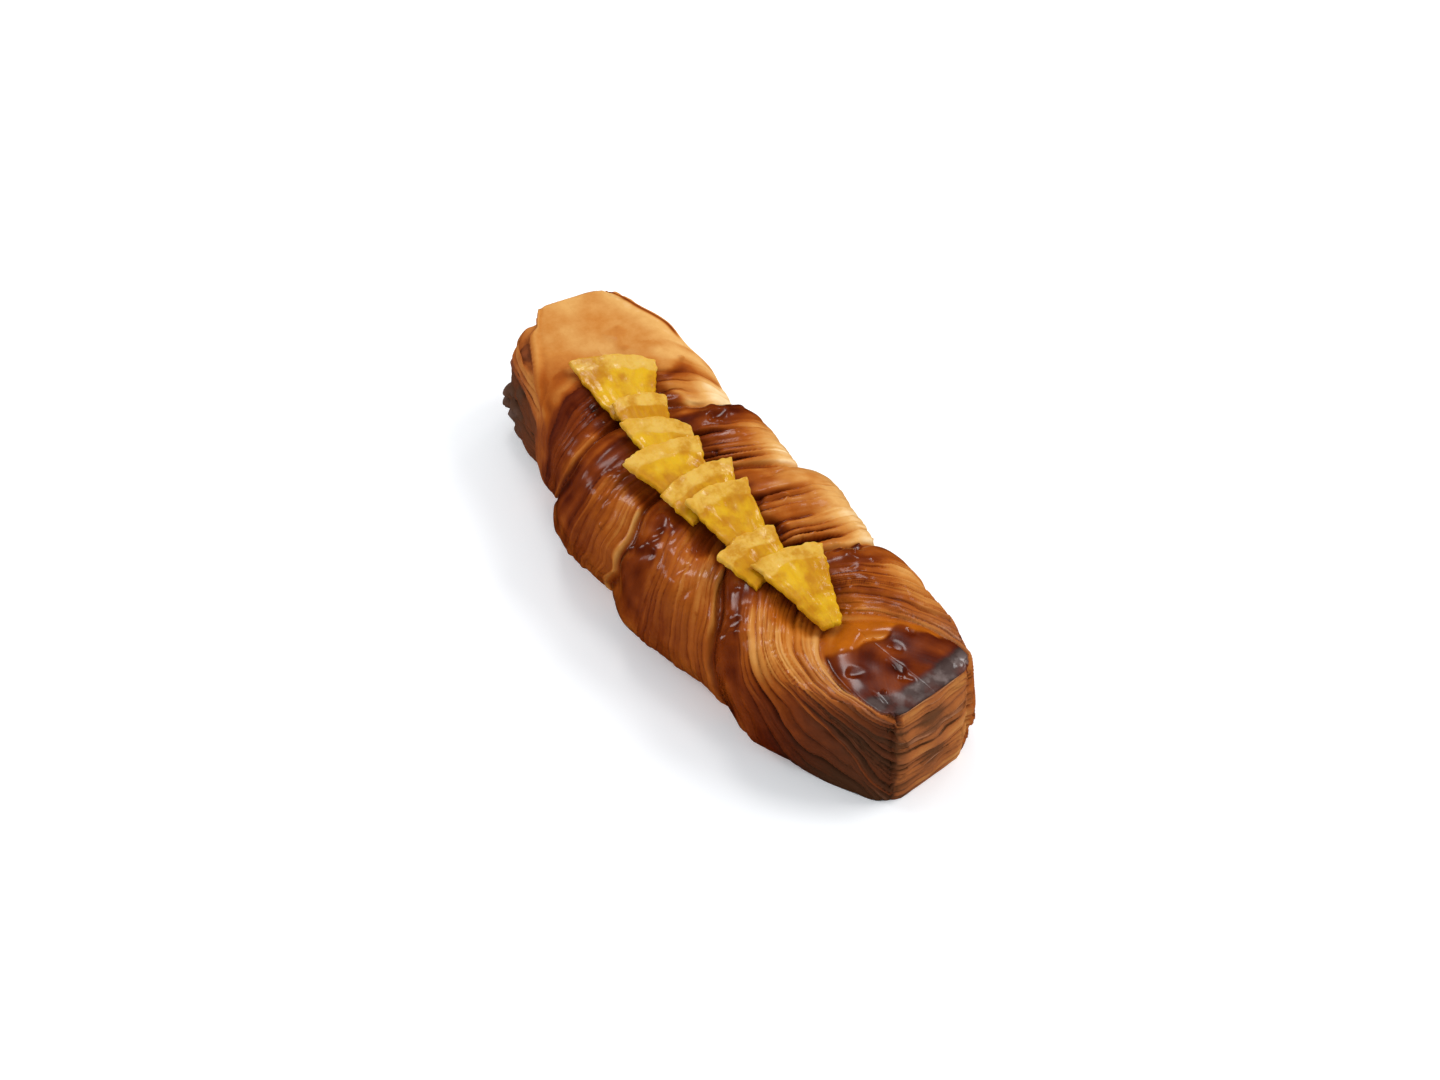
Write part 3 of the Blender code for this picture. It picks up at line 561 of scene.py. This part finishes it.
        # deep folds beside the orange with painted shade in their crevices, and the cut layers near the
        # groove darker, partly browning and partly painted shade
        folds = look["layerDepth"] * cut * body * step(degrees, 112, 82) * (turn > 1) * (turn < 3)
        relief, bake = relief - 0.8 * folds * crevice, bake + 4.0 * folds * crevice * (1 - pool)
        bake += 0.12 * step(degrees, 100, 75) * cut * step(turn, 1.3, 1.5) * (turn < 3) * body
    else:
        # the rim above the far flank with lines of painted shade beside it, then browning down the outer side
        block = step(x, -4.5, -5.3) * body
        edge = bell(degrees, rim - 2, 3.5) * block
        shade = (bell(degrees, rim + 4, 3) + 0.6 * bell(degrees, rim - 9, 4)) * block
        relief, bake = relief + 0.03 * edge - 0.02 * shade, bake - 0.05 * edge + 0.08 * shade
        firstSkin = 0.16 * step(degrees, 100, 140) + 0.18 * step(turn, 0.28, 0.58)
        bake += firstSkin * (turn < 1) * (1 - cut) * body
        bake += 0.05 * bell(turn, 0.66, 0.08) * step(degrees, 95, 125) * body
        # the outer side and the near block's low side darker, partly browning and partly painted shade
        bake += look["lowBrownAndShade"] * step(degrees, 112, 167) * cut * (turn > 0.9) * body * (1 - flank)
        bake += (0.30 + 0.14 * step(x, 6.2, 7.7)) * lowSide * step(x, 4.5, 6.5) * body
        bake += 0.02 * step(degrees, 90, 130) * (1 - cut) * step(turn, 2.9, 3.0) * (turn < 4) * body
        # burnt flakes that stick out at the far left
        flakes = flank * step(x, -5.8, -7.2) * bell(degrees, 178, 34) * body
        torn = np.clip(0.45 + 0.75 * ripples(np.stack([x, number * 3.1, 0 * x], -1), 0.55, 51), 0, 1)
        relief += look["flakeReach"] * flakes * (ridge * (0.4 + 2.0 * torn) - 0.7)
        # burnt flakes browner, and painted shade in the flank's crevices
        bake += 0.20 * flakes * (ridge + torn) + 0.25 * flank * body * crevice
    relief, bake, gloss = addBlisters(base, cut, patch, relief, bake, gloss)
    relief, gloss, cut = addGlints(base, normal, (past < 0.1) * 1.0 + onEnd, onEnd, relief, gloss, cut)

    # syrup, and dark glaze with painted shade beside the orange, in the groove and up its banks
    syrup, wavy = np.zeros_like(z), 1 + 0.2 * ripples(base, 0.6, 41)
    for *place, radius, strength in look["syrup"]:
        syrup = np.maximum(syrup, strength * bell(np.linalg.norm(base - place, axis=-1) * wavy, 0, radius))
    syrup = np.maximum(syrup, pool * (0.75 + 0.2 * streak)) * (1 - 0.9 * patch)
    bank = curve(x, look["bankX"], look["banks"][which]) + 0.10 * streak
    groove = step(past, bank + 0.15, bank - 0.20) * plateau(x, *look["bankEnds"]) * step(z, 1.8, 2.4) * body
    # dark glaze and painted shade in the groove and on its banks
    bake += (look["grooveBrownAndShade"] + 0.05 * streak - bake) * 0.80 * groove * (1 - 0.4 * syrup)
    cut = cut * (1 - 0.45 * groove)
    relief = relief - look["grooveDepth"] * bell(past, 0.45, 0.60) * groove
    gloss = np.maximum(gloss, np.maximum(0.9 * syrup, look["grooveGloss"] * groove))
    # orange pool, and the dark near patch with its burnt band, greyed partly as ash and partly by a
    # painted sheen
    bake = bake * (1 - pool) + (look["poolBrown"] + 0.12 * streak) * pool
    bake = bake * (1 - patch) + (look["patchBrown"] + 0.06 * ripples(base, 0.9, 44)) * patch
    cut = cut * (1 - 0.6 * pool) * (1 - patch)
    gloss = np.maximum(gloss, np.maximum(look["poolGloss"] * pool, look["patchGloss"] * patch))
    burnt = patch * step(ahead - curve(y, look["patchY"], look["burntX"]), -0.15, 0.10)
    sheen = bell(ahead + 0.06 * ripples(base, 0.8, 62), look["sheenX"], 0.20) * step(y, -0.1, 0.7)
    ash = burnt * np.clip(sheen + 0.40, 0, 1)
    if side < 0:
        # grey painted highlights on the tips of the burnt flakes
        ash += 0.9 * flakes * ridge * torn
    # on the end faces the crevices carry painted shade and the ridges painted light, fading where the strands
    # meet; the foot is darker, partly browning and partly painted shade, and the underside plain brown
    apart = 1 - 0.8 * bell(past, 0, 0.25)
    endShadeAndFootBrown = np.where(onEnd, (0.30 * crevice - 0.08 * ridge) * apart, 0.12 * step(z, 0.8, 0.0))
    bake += 0.20 * burnt - 0.20 * syrup * (1 - pool) + endShadeAndFootBrown
    seam = step(x, -5.6, -6.6) * bell(past, 0, 0.8) * body
    bake += (look["seamBrown"] + 0.03 * ripples(base, 1.3, 66) - bake) * seam
    cut = cut * (1 - seam)
    below = step(degrees, 222, 232) * (degrees < 330) * body
    bake += (look["underBrown"] - bake) * below
    cut, gloss = cut * (1 - below), gloss * (1 - below)
    nearDry = 0.7 * cut * step(x, 5.0, 7.5) * (1 - 0.6 * lowSide)
    dry = np.where(onEnd, 0.9, 0.35 * flank + nearDry)

    # the finished points: relief on the sides runs out over the first rings of the end faces
    endRelief = look["endDepth"] * (ridge - 0.75 - 0.5 * crevice - 0.25 * hairline)
    endRelief = endRelief * (1 - 0.75 * bell(past, 0, 0.30)) + 0.015 * ripples(base, 0.9, 42)
    ownShare = np.where(onEnd, np.maximum(step(shrunk, 0, 0.06), np.maximum(inner, outside)),
                        outside * step(np.abs(x) - form["endX"], -0.35, 0))
    endRelief = endRelief * ownShare
    low = 0.25 + 0.75 * step(z, 0.1, 0.7)
    sideShift = normal * (np.where(onEnd, 0.0, relief) * low)[..., None]
    shift = sideShift.copy()
    shift[..., 0] += np.where(x > 0, 1.0, -1.0) * endRelief * low
    for rows, edge in ends:
        shift[rows] += sideShift[edge] * step(shrunk[rows], 0.22, 0)[..., None]
    skin = bow(shapeEnds(side, straight, past, shrunk, inner)) + shift
    skin[..., 2] = np.maximum(skin[..., 2], 0.0)
    skin[..., :2] += form["offset"]

    # strength of the painted shade and the bump in the gaps between layers
    sideGaps = np.interp(turn, (2.9, 3.1), look["gapStrength"][which]) * (1 - 0.75 * fading)
    gaps = np.where(onEnd, 1.2 * main * apart, sideGaps)
    gaps += (0.4 + 1.2 * step(degrees, 140, 155) - gaps) * flank * body
    # the side's tones run on round its corners
    for rows, edge in ends[which:]:
        carried = step(shrunk[rows], 0.40, 0) * outside[0]
        for value in (bake, gaps, dry):
            value[rows] += (value[edge] - value[rows]) * carried
    layers = {"bake": bake, "gloss": np.clip(gloss, 0, 1), "cutFace": cut * calm, "gaps": gaps,
              "width": np.clip(spacing, 0, 1), "syrup": syrup, "dry": np.clip(dry, 0, 1),
              "ash": np.clip(ash, 0, 1), "plain": plain * body,
              "grain": np.stack([layer, roundLength, x], -1)}
    layers = {label: withPoles(value) for label, value in layers.items()}
    name = "strand_left" if side < 0 else "strand_right"
    piece = addSkin(name, withPoles(skin), closedFaces(*x.shape, side > 0), layers)
    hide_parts("pastry")
    return piece


# shader arithmetic
class Wire:
    # a socket of a material that takes part in Python arithmetic
    def __init__(self, tree, socket=None):
        self.tree, self.socket = tree, socket

    def node(self, kind, settings=None, values=None, out=0):
        made = self.tree.nodes.new(kind)
        for key, value in (settings or {}).items():
            if key == "stops":
                ramp = made.color_ramp
                while len(ramp.elements) < len(value):
                    ramp.elements.new(0.5)
                for element, (place, color) in zip(ramp.elements, value):
                    element.position, element.color = place, color + (1.0,)
            else:
                setattr(made, key, value)
        fill(self.tree, made, values or {})
        return Wire(self.tree, made.outputs[out])

    def math(self, operation, *values):
        return self.node("ShaderNodeMath", {"operation": operation}, dict(enumerate(values)))

    def __add__(self, other):
        return self.math("ADD", self, other)

    def __radd__(self, other):
        return self.math("ADD", other, self)

    def __sub__(self, other):
        return self.math("SUBTRACT", self, other)

    def __rsub__(self, other):
        return self.math("SUBTRACT", other, self)

    def __mul__(self, other):
        return self.math("MULTIPLY", self, other)

    def __rmul__(self, other):
        return self.math("MULTIPLY", other, self)

    def size(self):
        return self.math("ABSOLUTE", self)

    def whole(self):
        return self.math("FLOOR", self)

    def step(self, low, high):
        # smooth step of this value from 0 at low to 1 at high
        return self.node("ShaderNodeMapRange", {"interpolation_type": "SMOOTHSTEP"},
                         {"Value": self, "From Min": low, "From Max": high})

    def blend(self, share, first, second):
        # from the first colour to the second
        return self.node("ShaderNodeMix", {"data_type": "RGBA", "blend_type": "MIX", "clamp_factor": True},
                         {0: share, 6: first, 7: second}, 2)

    def layer(self, name, out="Fac"):
        # a value kept on the points of the mesh
        return self.node("ShaderNodeAttribute", {"attribute_name": name}, None, out)

    def noise(self, where, scale, detail=2.0, rough=0.5):
        return self.node("ShaderNodeTexNoise", None,
                         {"Vector": where, "Scale": scale, "Detail": detail, "Roughness": rough})


def fill(tree, node, values):
    # a link for each value that is a socket, a constant for the others
    for key, value in values.items():
        if isinstance(value, Wire):
            tree.links.new(value.socket, node.inputs[key])
        else:
            node.inputs[key].default_value = value


def newLook(name):
    look = bpy.data.materials.new(name)
    look.use_nodes = True
    return look, Wire(look.node_tree), look.node_tree.nodes["Principled BSDF"]


crustLook = {
    "browning": ((0.00, (0.86, 0.61, 0.32)), (0.15, (0.70, 0.37, 0.11)), (0.32, (0.54, 0.20, 0.036)),
                 (0.50, (0.36, 0.082, 0.007)), (0.68, (0.19, 0.030, 0.002)), (0.85, (0.085, 0.009, 0.001)),
                 (1.00, (0.022, 0.005, 0.003))),
    "dryCrumb": (0.38, 0.16, 0.060, 1.0), "paleRidgeAndGlint": (0.50, 0.27, 0.16, 1.0),
    "dryShade": (0.10, 0.035, 0.012, 1.0), "syrupColor": (0.48, 0.12, 0.002, 1.0),
    "ashAndSheenColor": (0.22, 0.165, 0.15, 1.0),
    "streaks": 0.32, "mottle": 0.16, "gapShade": 0.27, "glintTone": 0.12, "bump": 0.00030,
}


def bakedCrust():
    # browning, from the mesh and from noises stretched along the layers, picks the colour off a ramp
    look, s, shader = newLook("bakedCrust")
    values = crustLook
    bake, gloss, cut = s.layer("bake"), s.layer("gloss"), s.layer("cutFace")
    syrup, dry, grain = s.layer("syrup"), s.layer("dry"), s.layer("grain", "Vector")
    place = s.node("ShaderNodeTexCoord", None, None, "Object")
    width = s.layer("width")
    stretched = s.node("ShaderNodeVectorMath", {"operation": "MULTIPLY"}, {0: grain, 1: (1.0, 0.34, 0.28)})
    streak = s.noise(stretched, 1.1, 3.0, 0.55)
    hair = s.noise(stretched, 5.0, 2.0, 0.6)
    broad = s.noise(stretched, 0.32, 2.0, 0.5)
    blotch = s.noise(place, 260.0, 3.0, 0.55)
    fleck = s.noise(place, 1100.0, 2.0, 0.6)
    # painted shade and a sunken bump in the gap at each border between layers, its strength a noise on the
    # border's number and along it
    layer, along, ahead = (s.node("ShaderNodeSeparateXYZ", None, {0: grain}, k) for k in range(3))
    border = (layer + 0.5 + (hair - 0.5) * 0.20).whole()
    spot = s.node("ShaderNodeCombineXYZ", None, {0: border * 3.71, 1: along * 0.85, 2: ahead * 0.85})
    strength = s.noise(spot, 1.0, 1.0, 0.5).step(0.36, 0.62)
    apart = (layer + (hair - 0.5) * 0.20 - border).size()
    gap = (1 - (apart * (width * 9.0 + 0.3)).step(0.0, 0.42)) * strength * cut * s.layer("gaps")
    # pale streaks along the layers: lighter dough, partly a painted highlight on the ridges
    glint = streak.step(0.58, 0.70)
    streaked = 1 - s.layer("plain")
    cloud = s.noise(place, 110.0, 2.0, 0.5)
    streaks = ((streak - 0.5) * (0.35 + 0.22 * cut + 0.22 * dry) * values["streaks"]
               + (hair - 0.5) * (0.06 + 0.20 * dry * cut)) * streaked
    brown = (bake + streaks + (cloud - 0.5) * 0.10 * (1 - streaked)
             + (broad - 0.5) * (0.36 - 0.20 * dry) * cut
             + gap * values["gapShade"] - glint * values["glintTone"] * cut
             + (blotch - 0.5) * values["mottle"] + (fleck - 0.5) * 0.05)
    color = s.node("ShaderNodeValToRGB", {"stops": values["browning"]}, {0: brown}, "Color")
    color = s.blend(dry * 0.45, color, values["dryCrumb"])
    color = s.blend(dry * brown.step(0.62, 0.82) * 0.7, color, values["dryShade"])
    # pale ridges on dry cut dough, partly a painted highlight
    color = s.blend(dry * glint * cut * 0.45, color, values["paleRidgeAndGlint"])
    color = s.blend(syrup * (1.1 - 0.7 * blotch), color, values["syrupColor"])
    # grey of ash and a painted sheen, on the burnt band and the flake tips
    color = s.blend(s.layer("ash") * (0.25 + 0.55 * blotch.step(0.40, 0.66)), color, values["ashAndSheenColor"])
    height = ((streak * 0.9 + hair * 0.25) * (0.10 + 0.9 * cut) - gap * 1.2
              + blotch * (0.35 - 0.33 * gloss) + fleck * (0.22 - 0.21 * gloss))
    bump = s.node("ShaderNodeBump", None, {"Distance": values["bump"], "Height": height}, "Normal")
    fill(s.tree, shader, {"Base Color": color, "Normal": bump, "Coat Roughness": 0.15,
                          "Roughness": 0.62 - 0.34 * gloss + 0.10 * (fleck - 0.5), "Specular IOR Level": 0.04,
                          "Coat Weight": (gloss * (0.75 + 0.5 * (blotch - 0.5))).step(0.18, 1.02) * 0.84})
    return look


# orange wedges
wedgeForm = {
    # left and right end of the rind, the blunt tip, its width, and the share of its length that is left
    "corners": (((-5.94, -1.06), (-5.10, 1.13), (-2.95, -0.42), 0.80, 0.76),
                ((-4.00, -0.80), (-3.66, 0.70), (-1.35, -0.55), 0.60, 0.58),
                ((-3.08, -1.03), (-2.30, 0.66), (-0.15, -0.50), 0.60, 0.50),
                ((-1.79, -1.75), (-1.72, 0.55), (0.75, -0.42), 0.50, 0.60),
                ((-0.42, -1.43), (-0.62, 0.89), (1.95, -0.62), 0.60, 0.48),
                ((0.25, -1.10), (0.31, 0.74), (2.90, -0.30), 0.70, 0.80),
                ((2.15, -1.42), (1.95, 0.45), (4.45, -0.50), 0.50, 0.50),
                ((2.85, -0.88), (3.20, 1.08), (5.33, -0.26), 0.55, 1.00)),
    "rows": 84, "across": 76,
    "bulge": 0.20, "tipHollow": 0.06, "thick": 0.17, "ragged": 0.022, "droop": 0.03,
    "rind": 0.40, "edge": 0.055, "wallsAt": (0.36, 0.70),
}


def wedgeSkin(number):
    # a flat wedge between a bowed rind and a blunt tip, on its solid's own plane: u runs across it and v from
    # the rind to the tip, both as cosines, and its thickness falls off as a quarter circle at the ragged edge
    form = wedgeForm
    left, right, tip, blunt, length = form["corners"][number - 1]
    left, right, tip = np.array(left), np.array(right), np.array(tip)
    chord = (right - left) / np.linalg.norm(right - left)
    away = (left + right) / 2 - tip
    span = np.linalg.norm(away)
    away = away / span
    rows, across = form["rows"], form["across"]
    v = (length * (1 - np.cos(np.pi * np.arange(rows) / (rows - 1))) / 2)[:, None, None]
    u = ((1 - np.cos(np.pi * np.arange(across) / (across - 1))) / 2)[None, :, None]
    rind = left + (right - left) * u + away * form["bulge"] * 4 * u * (1 - u)
    point = tip - chord * blunt / 2 + chord * blunt * u + away * -form["tipHollow"] * 4 * u * (1 - u)
    flat = rind + (point - rind) * v
    u, v = u[..., 0] + 0 * flat[..., 0], v[..., 0] + 0 * flat[..., 0]
    wide = np.linalg.norm(right - left) * (1 - v) + blunt * v
    sideways, endways = np.minimum(u, 1 - u) * wide, np.minimum(v, length - v) * span
    rim = np.minimum(sideways, endways)
    seed = 100 * number
    ragged = form["ragged"] * (ripples(flat, 0.8, seed + 1) * 0.8 + ripples(flat, 0.26, seed + 2) * 0.45)
    nearSide, nearEnd = bell(sideways, 0, 0.25), bell(endways, 0, 0.25)
    flat += (np.where(u < 0.5, -1, 1) * nearSide * ragged)[..., None] * chord
    flat += (np.where(v < length / 2, 1, -1) * nearEnd * ragged)[..., None] * away
    world = bow(np.concatenate([flat, np.zeros(flat.shape[:2] + (1,))], -1))
    world[..., :2] += strandForm["offset"]
    solid = np.array([tuple(c.co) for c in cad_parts["orange_wedge_%d" % number].data.vertices]) / cm
    plane = np.linalg.lstsq(np.c_[solid[:, :2], np.ones(len(solid))], solid[:, 2], rcond=None)[0]
    middle = world[..., 0] * plane[0] + world[..., 1] * plane[1] + plane[2]
    profile = np.sqrt(np.clip(1 - (1 - np.clip(rim / form["edge"], 0, 1)) ** 2, 0, 1))
    fromRind = v * span + 0.03 * ripples(flat, 0.6, seed + 3)
    pith = 1 - step(fromRind, form["rind"], form["rind"] + 0.07)
    seamLine = bell(fromRind, form["rind"] + 0.02, 0.035)
    cells = np.stack([(u - 0.5) * wide / np.maximum(wide, 0.3) * 16, v * span * 2.2], -1)
    pulp = ripples(cells, 2.2, seed + 4)
    wavy = u - 0.02 * ripples(flat, 0.9, seed + 5)
    walls = sum(bell(wavy * wide, at * wide, 0.045) for at in form["wallsAt"]) * (1 - pith)
    lift = (0.0020 * pulp * (1 - pith) + 0.008 * pith - 0.004 * seamLine + 0.004 * walls
            + 0.004 * ripples(flat, 0.5, seed + 6))
    warp = 0.016 * ripples(flat, 2.4, seed + 7) - form["droop"] * ((u - 0.5) * 2) ** 4 * profile
    half = form["thick"] / 2
    upper, lower = world.copy(), world.copy()
    upper[..., 2] = middle + warp + half * profile + lift * profile
    lower[..., 2] = middle + warp - half * profile
    index = np.arange(rows * across).reshape(rows, across)
    under = index + rows * across
    for edge in (np.s_[0, :], np.s_[-1, :], np.s_[:, 0], np.s_[:, -1]):
        under[edge] = index[edge]
    top = np.stack([index[:-1, :-1], index[1:, :-1], index[1:, 1:], index[:-1, 1:]], -1).reshape(-1, 4)
    bottom = np.stack([under[:-1, :-1], under[:-1, 1:], under[1:, 1:], under[1:, :-1]], -1).reshape(-1, 4)
    faces = np.concatenate([top, bottom])
    verts = np.concatenate([upper.reshape(-1, 3), lower.reshape(-1, 3)])
    used = np.unique(faces)
    remap = np.zeros(len(verts), int)
    remap[used] = np.arange(len(used))
    grain = np.stack([cells[..., 0], cells[..., 1], 0 * u + number], -1)
    layers = {"pith": pith, "walls": np.clip(walls + 0.7 * seamLine, 0, 1), "rim": bell(rim, 0, 0.10),
              "grain": grain}
    # the same values on the upper and on the lower face
    for label, value in layers.items():
        points = value.reshape((-1,) + value.shape[2:])
        layers[label] = np.concatenate([points, points])[used]
    piece = addSkin("orange_%d" % number, verts[used], remap[faces].tolist(), layers)
    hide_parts("orange_wedge_%d" % number)
    return piece


orangeLook = {
    "flesh": (0.54, 0.24, 0.002, 1.0), "deep": (0.48, 0.19, 0.001, 1.0), "bright": (0.70, 0.40, 0.006, 1.0),
    "pith": (0.64, 0.34, 0.035, 1.0), "wall": (0.58, 0.28, 0.010, 1.0), "pale": (0.80, 0.55, 0.13, 1.0),
}


def candiedOrange():
    # flesh mottled by noises, paler towards the rind, under a moist film in patches
    look, s, shader = newLook("candiedOrange")
    pith, walls, rim, grain = s.layer("pith"), s.layer("walls"), s.layer("rim"), s.layer("grain", "Vector")
    place = s.node("ShaderNodeTexCoord", None, None, "Object")
    cell = s.noise(grain, 0.9, 3.0, 0.6)
    cloud = s.noise(place, 230.0, 3.0, 0.55)
    broad = s.noise(place, 75.0, 2.0, 0.5)
    grit = s.noise(place, 1000.0, 3.0, 0.6)
    tone = orangeLook
    color = s.blend((cloud * 0.6 + cell * 0.4).step(0.42, 0.58), tone["deep"], tone["flesh"])
    color = s.blend((broad * 0.7 + cloud * 0.3).step(0.45, 0.62) * 0.9, color, tone["bright"])
    color = s.blend(walls * 0.35, color, tone["wall"])
    color = s.blend(pith * (0.25 + 0.75 * (cloud * 0.5 + broad * 0.5).step(0.38, 0.58)), color, tone["pith"])
    color = s.blend(pith * (cloud * 0.6 + grit * 0.4).step(0.38, 0.64) * 0.50, color, tone["pale"])
    color = s.blend(rim * 0.30, color, tone["wall"])
    height = cell * (0.8 - 0.4 * pith) + grit * 0.45 + cloud * 0.9
    bump = s.node("ShaderNodeBump", None, {"Distance": 0.00012, "Height": height}, "Normal")
    fill(s.tree, shader, {"Base Color": color, "Normal": bump, "Roughness": 0.46 - 0.12 * cloud + 0.10 * pith,
                          "Coat Weight": 0.15 + 0.55 * (cloud * 0.5 + grit * 0.5).step(0.50, 0.62),
                          "Coat Roughness": 0.09, "Specular IOR Level": 0.10, "Subsurface Weight": 0.20,
                          "Subsurface Radius": (1.0, 0.55, 0.05), "Subsurface Scale": 0.002})
    return look


crust = bakedCrust()
for side in (-1, 1):
    strand = strandSkin(side)
    strand.data.materials.append(crust)
    print("strand", side, len(strand.data.polygons), "faces")
orange = candiedOrange()
for number in range(1, 9):
    wedge = wedgeSkin(number)
    wedge.data.materials.append(orange)
print("wedges done")
for name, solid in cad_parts.items():
    solid.data.materials.clear()
    solid.data.materials.append(crust if name == "pastry" else orange)


# studio
studio = {
    "floorColor": (0.93, 0.93, 0.93, 1.0), "floorGlow": (0.92, 0.97, 1.0, 1.0), "floorHalf": 4,
    "worldColor": (0.93, 0.96, 1.0, 1.0), "worldStrength": 0.66,
    "target": (-0.0201, 0.0406, 1.7), "heading": 56.8, "elevation": 47.5, "distance": 100.0, "lens": 95.75,
    # lamps: right of, behind and above the pastry as the camera sees it, in metres; size; power; whether they
    # show as glints and whether they light the dough. The third only adds to the second one's glints
    "lamps": ((1.10, 0.20, 1.20, 0.90, 13.2, False, True), (-0.15, 0.66, 1.42, 0.46, 3.4, True, True),
              (-0.15, 0.66, 1.42, 0.46, 5.5, True, False), (-1.40, 0.55, 0.85, 0.50, 4.2, True, True),
              (0.60, 0.75, 1.00, 0.25, 1.2, True, True), (-1.05, 0.18, 1.05, 0.36, 1.4, True, True)),
}
heading, elevation = np.radians(studio["heading"]), np.radians(studio["elevation"])
rightWay = np.array([np.cos(heading), np.sin(heading), 0.0])
awayWay = np.array([-np.sin(heading), np.cos(heading), 0.0])
target = np.array(studio["target"]) * cm
back = -awayWay * np.cos(elevation) + np.array([0, 0, np.sin(elevation)])

camera = bpy.data.objects.new("camera", bpy.data.cameras.new("camera"))
bpy.context.scene.collection.objects.link(camera)
camera.data.lens, camera.data.sensor_width = studio["lens"], 36.0
camera.data.clip_start, camera.data.clip_end = 0.01, 50.0
camera.location = Vector(target + back * studio["distance"] * cm)
camera.rotation_mode = "QUATERNION"
camera.rotation_quaternion = Vector(-back).to_track_quat("-Z", "Y")
bpy.context.scene.camera = camera

for k, (toRight, toBack, up, size, power, glints, lights) in enumerate(studio["lamps"]):
    lamp = bpy.data.objects.new("lamp_%d" % k, bpy.data.lights.new("lamp_%d" % k, "AREA"))
    bpy.context.scene.collection.objects.link(lamp)
    lamp.data.shape, lamp.data.size, lamp.data.energy = "DISK", size, power
    lamp.visible_glossy, lamp.visible_diffuse = glints, lights
    lamp.location = Vector(rightWay * toRight + awayWay * toBack + np.array([0, 0, up]))
    lamp.rotation_mode = "QUATERNION"
    lamp.rotation_quaternion = (-lamp.location).to_track_quat("-Z", "Y")

world = bpy.data.worlds.new("studioLight")
world.use_nodes = True
fill(world.node_tree, world.node_tree.nodes["Background"],
     {"Color": studio["worldColor"], "Strength": studio["worldStrength"]})
world.cycles_visibility.glossy = False
bpy.context.scene.world = world
bpy.context.scene.view_settings.view_transform = "Standard"

floorMesh, half = bpy.data.meshes.new("floor"), studio["floorHalf"]
corners = [(-half, -half, 0), (half, -half, 0), (half, half, 0), (-half, half, 0)]
floorMesh.from_pydata(corners, [], [(0, 1, 2, 3)])
floor = bpy.data.objects.new("floor", floorMesh)
bpy.context.scene.collection.objects.link(floor)
floorLook, sheet, shader = newLook("paleFloor")
fill(sheet.tree, shader, {"Base Color": studio["floorColor"], "Roughness": 0.8, "Specular IOR Level": 0.2,
                          "Emission Color": studio["floorGlow"], "Emission Strength": 0.19})
floorMesh.materials.append(floorLook)
floor.visible_glossy = False
print("studio ready")
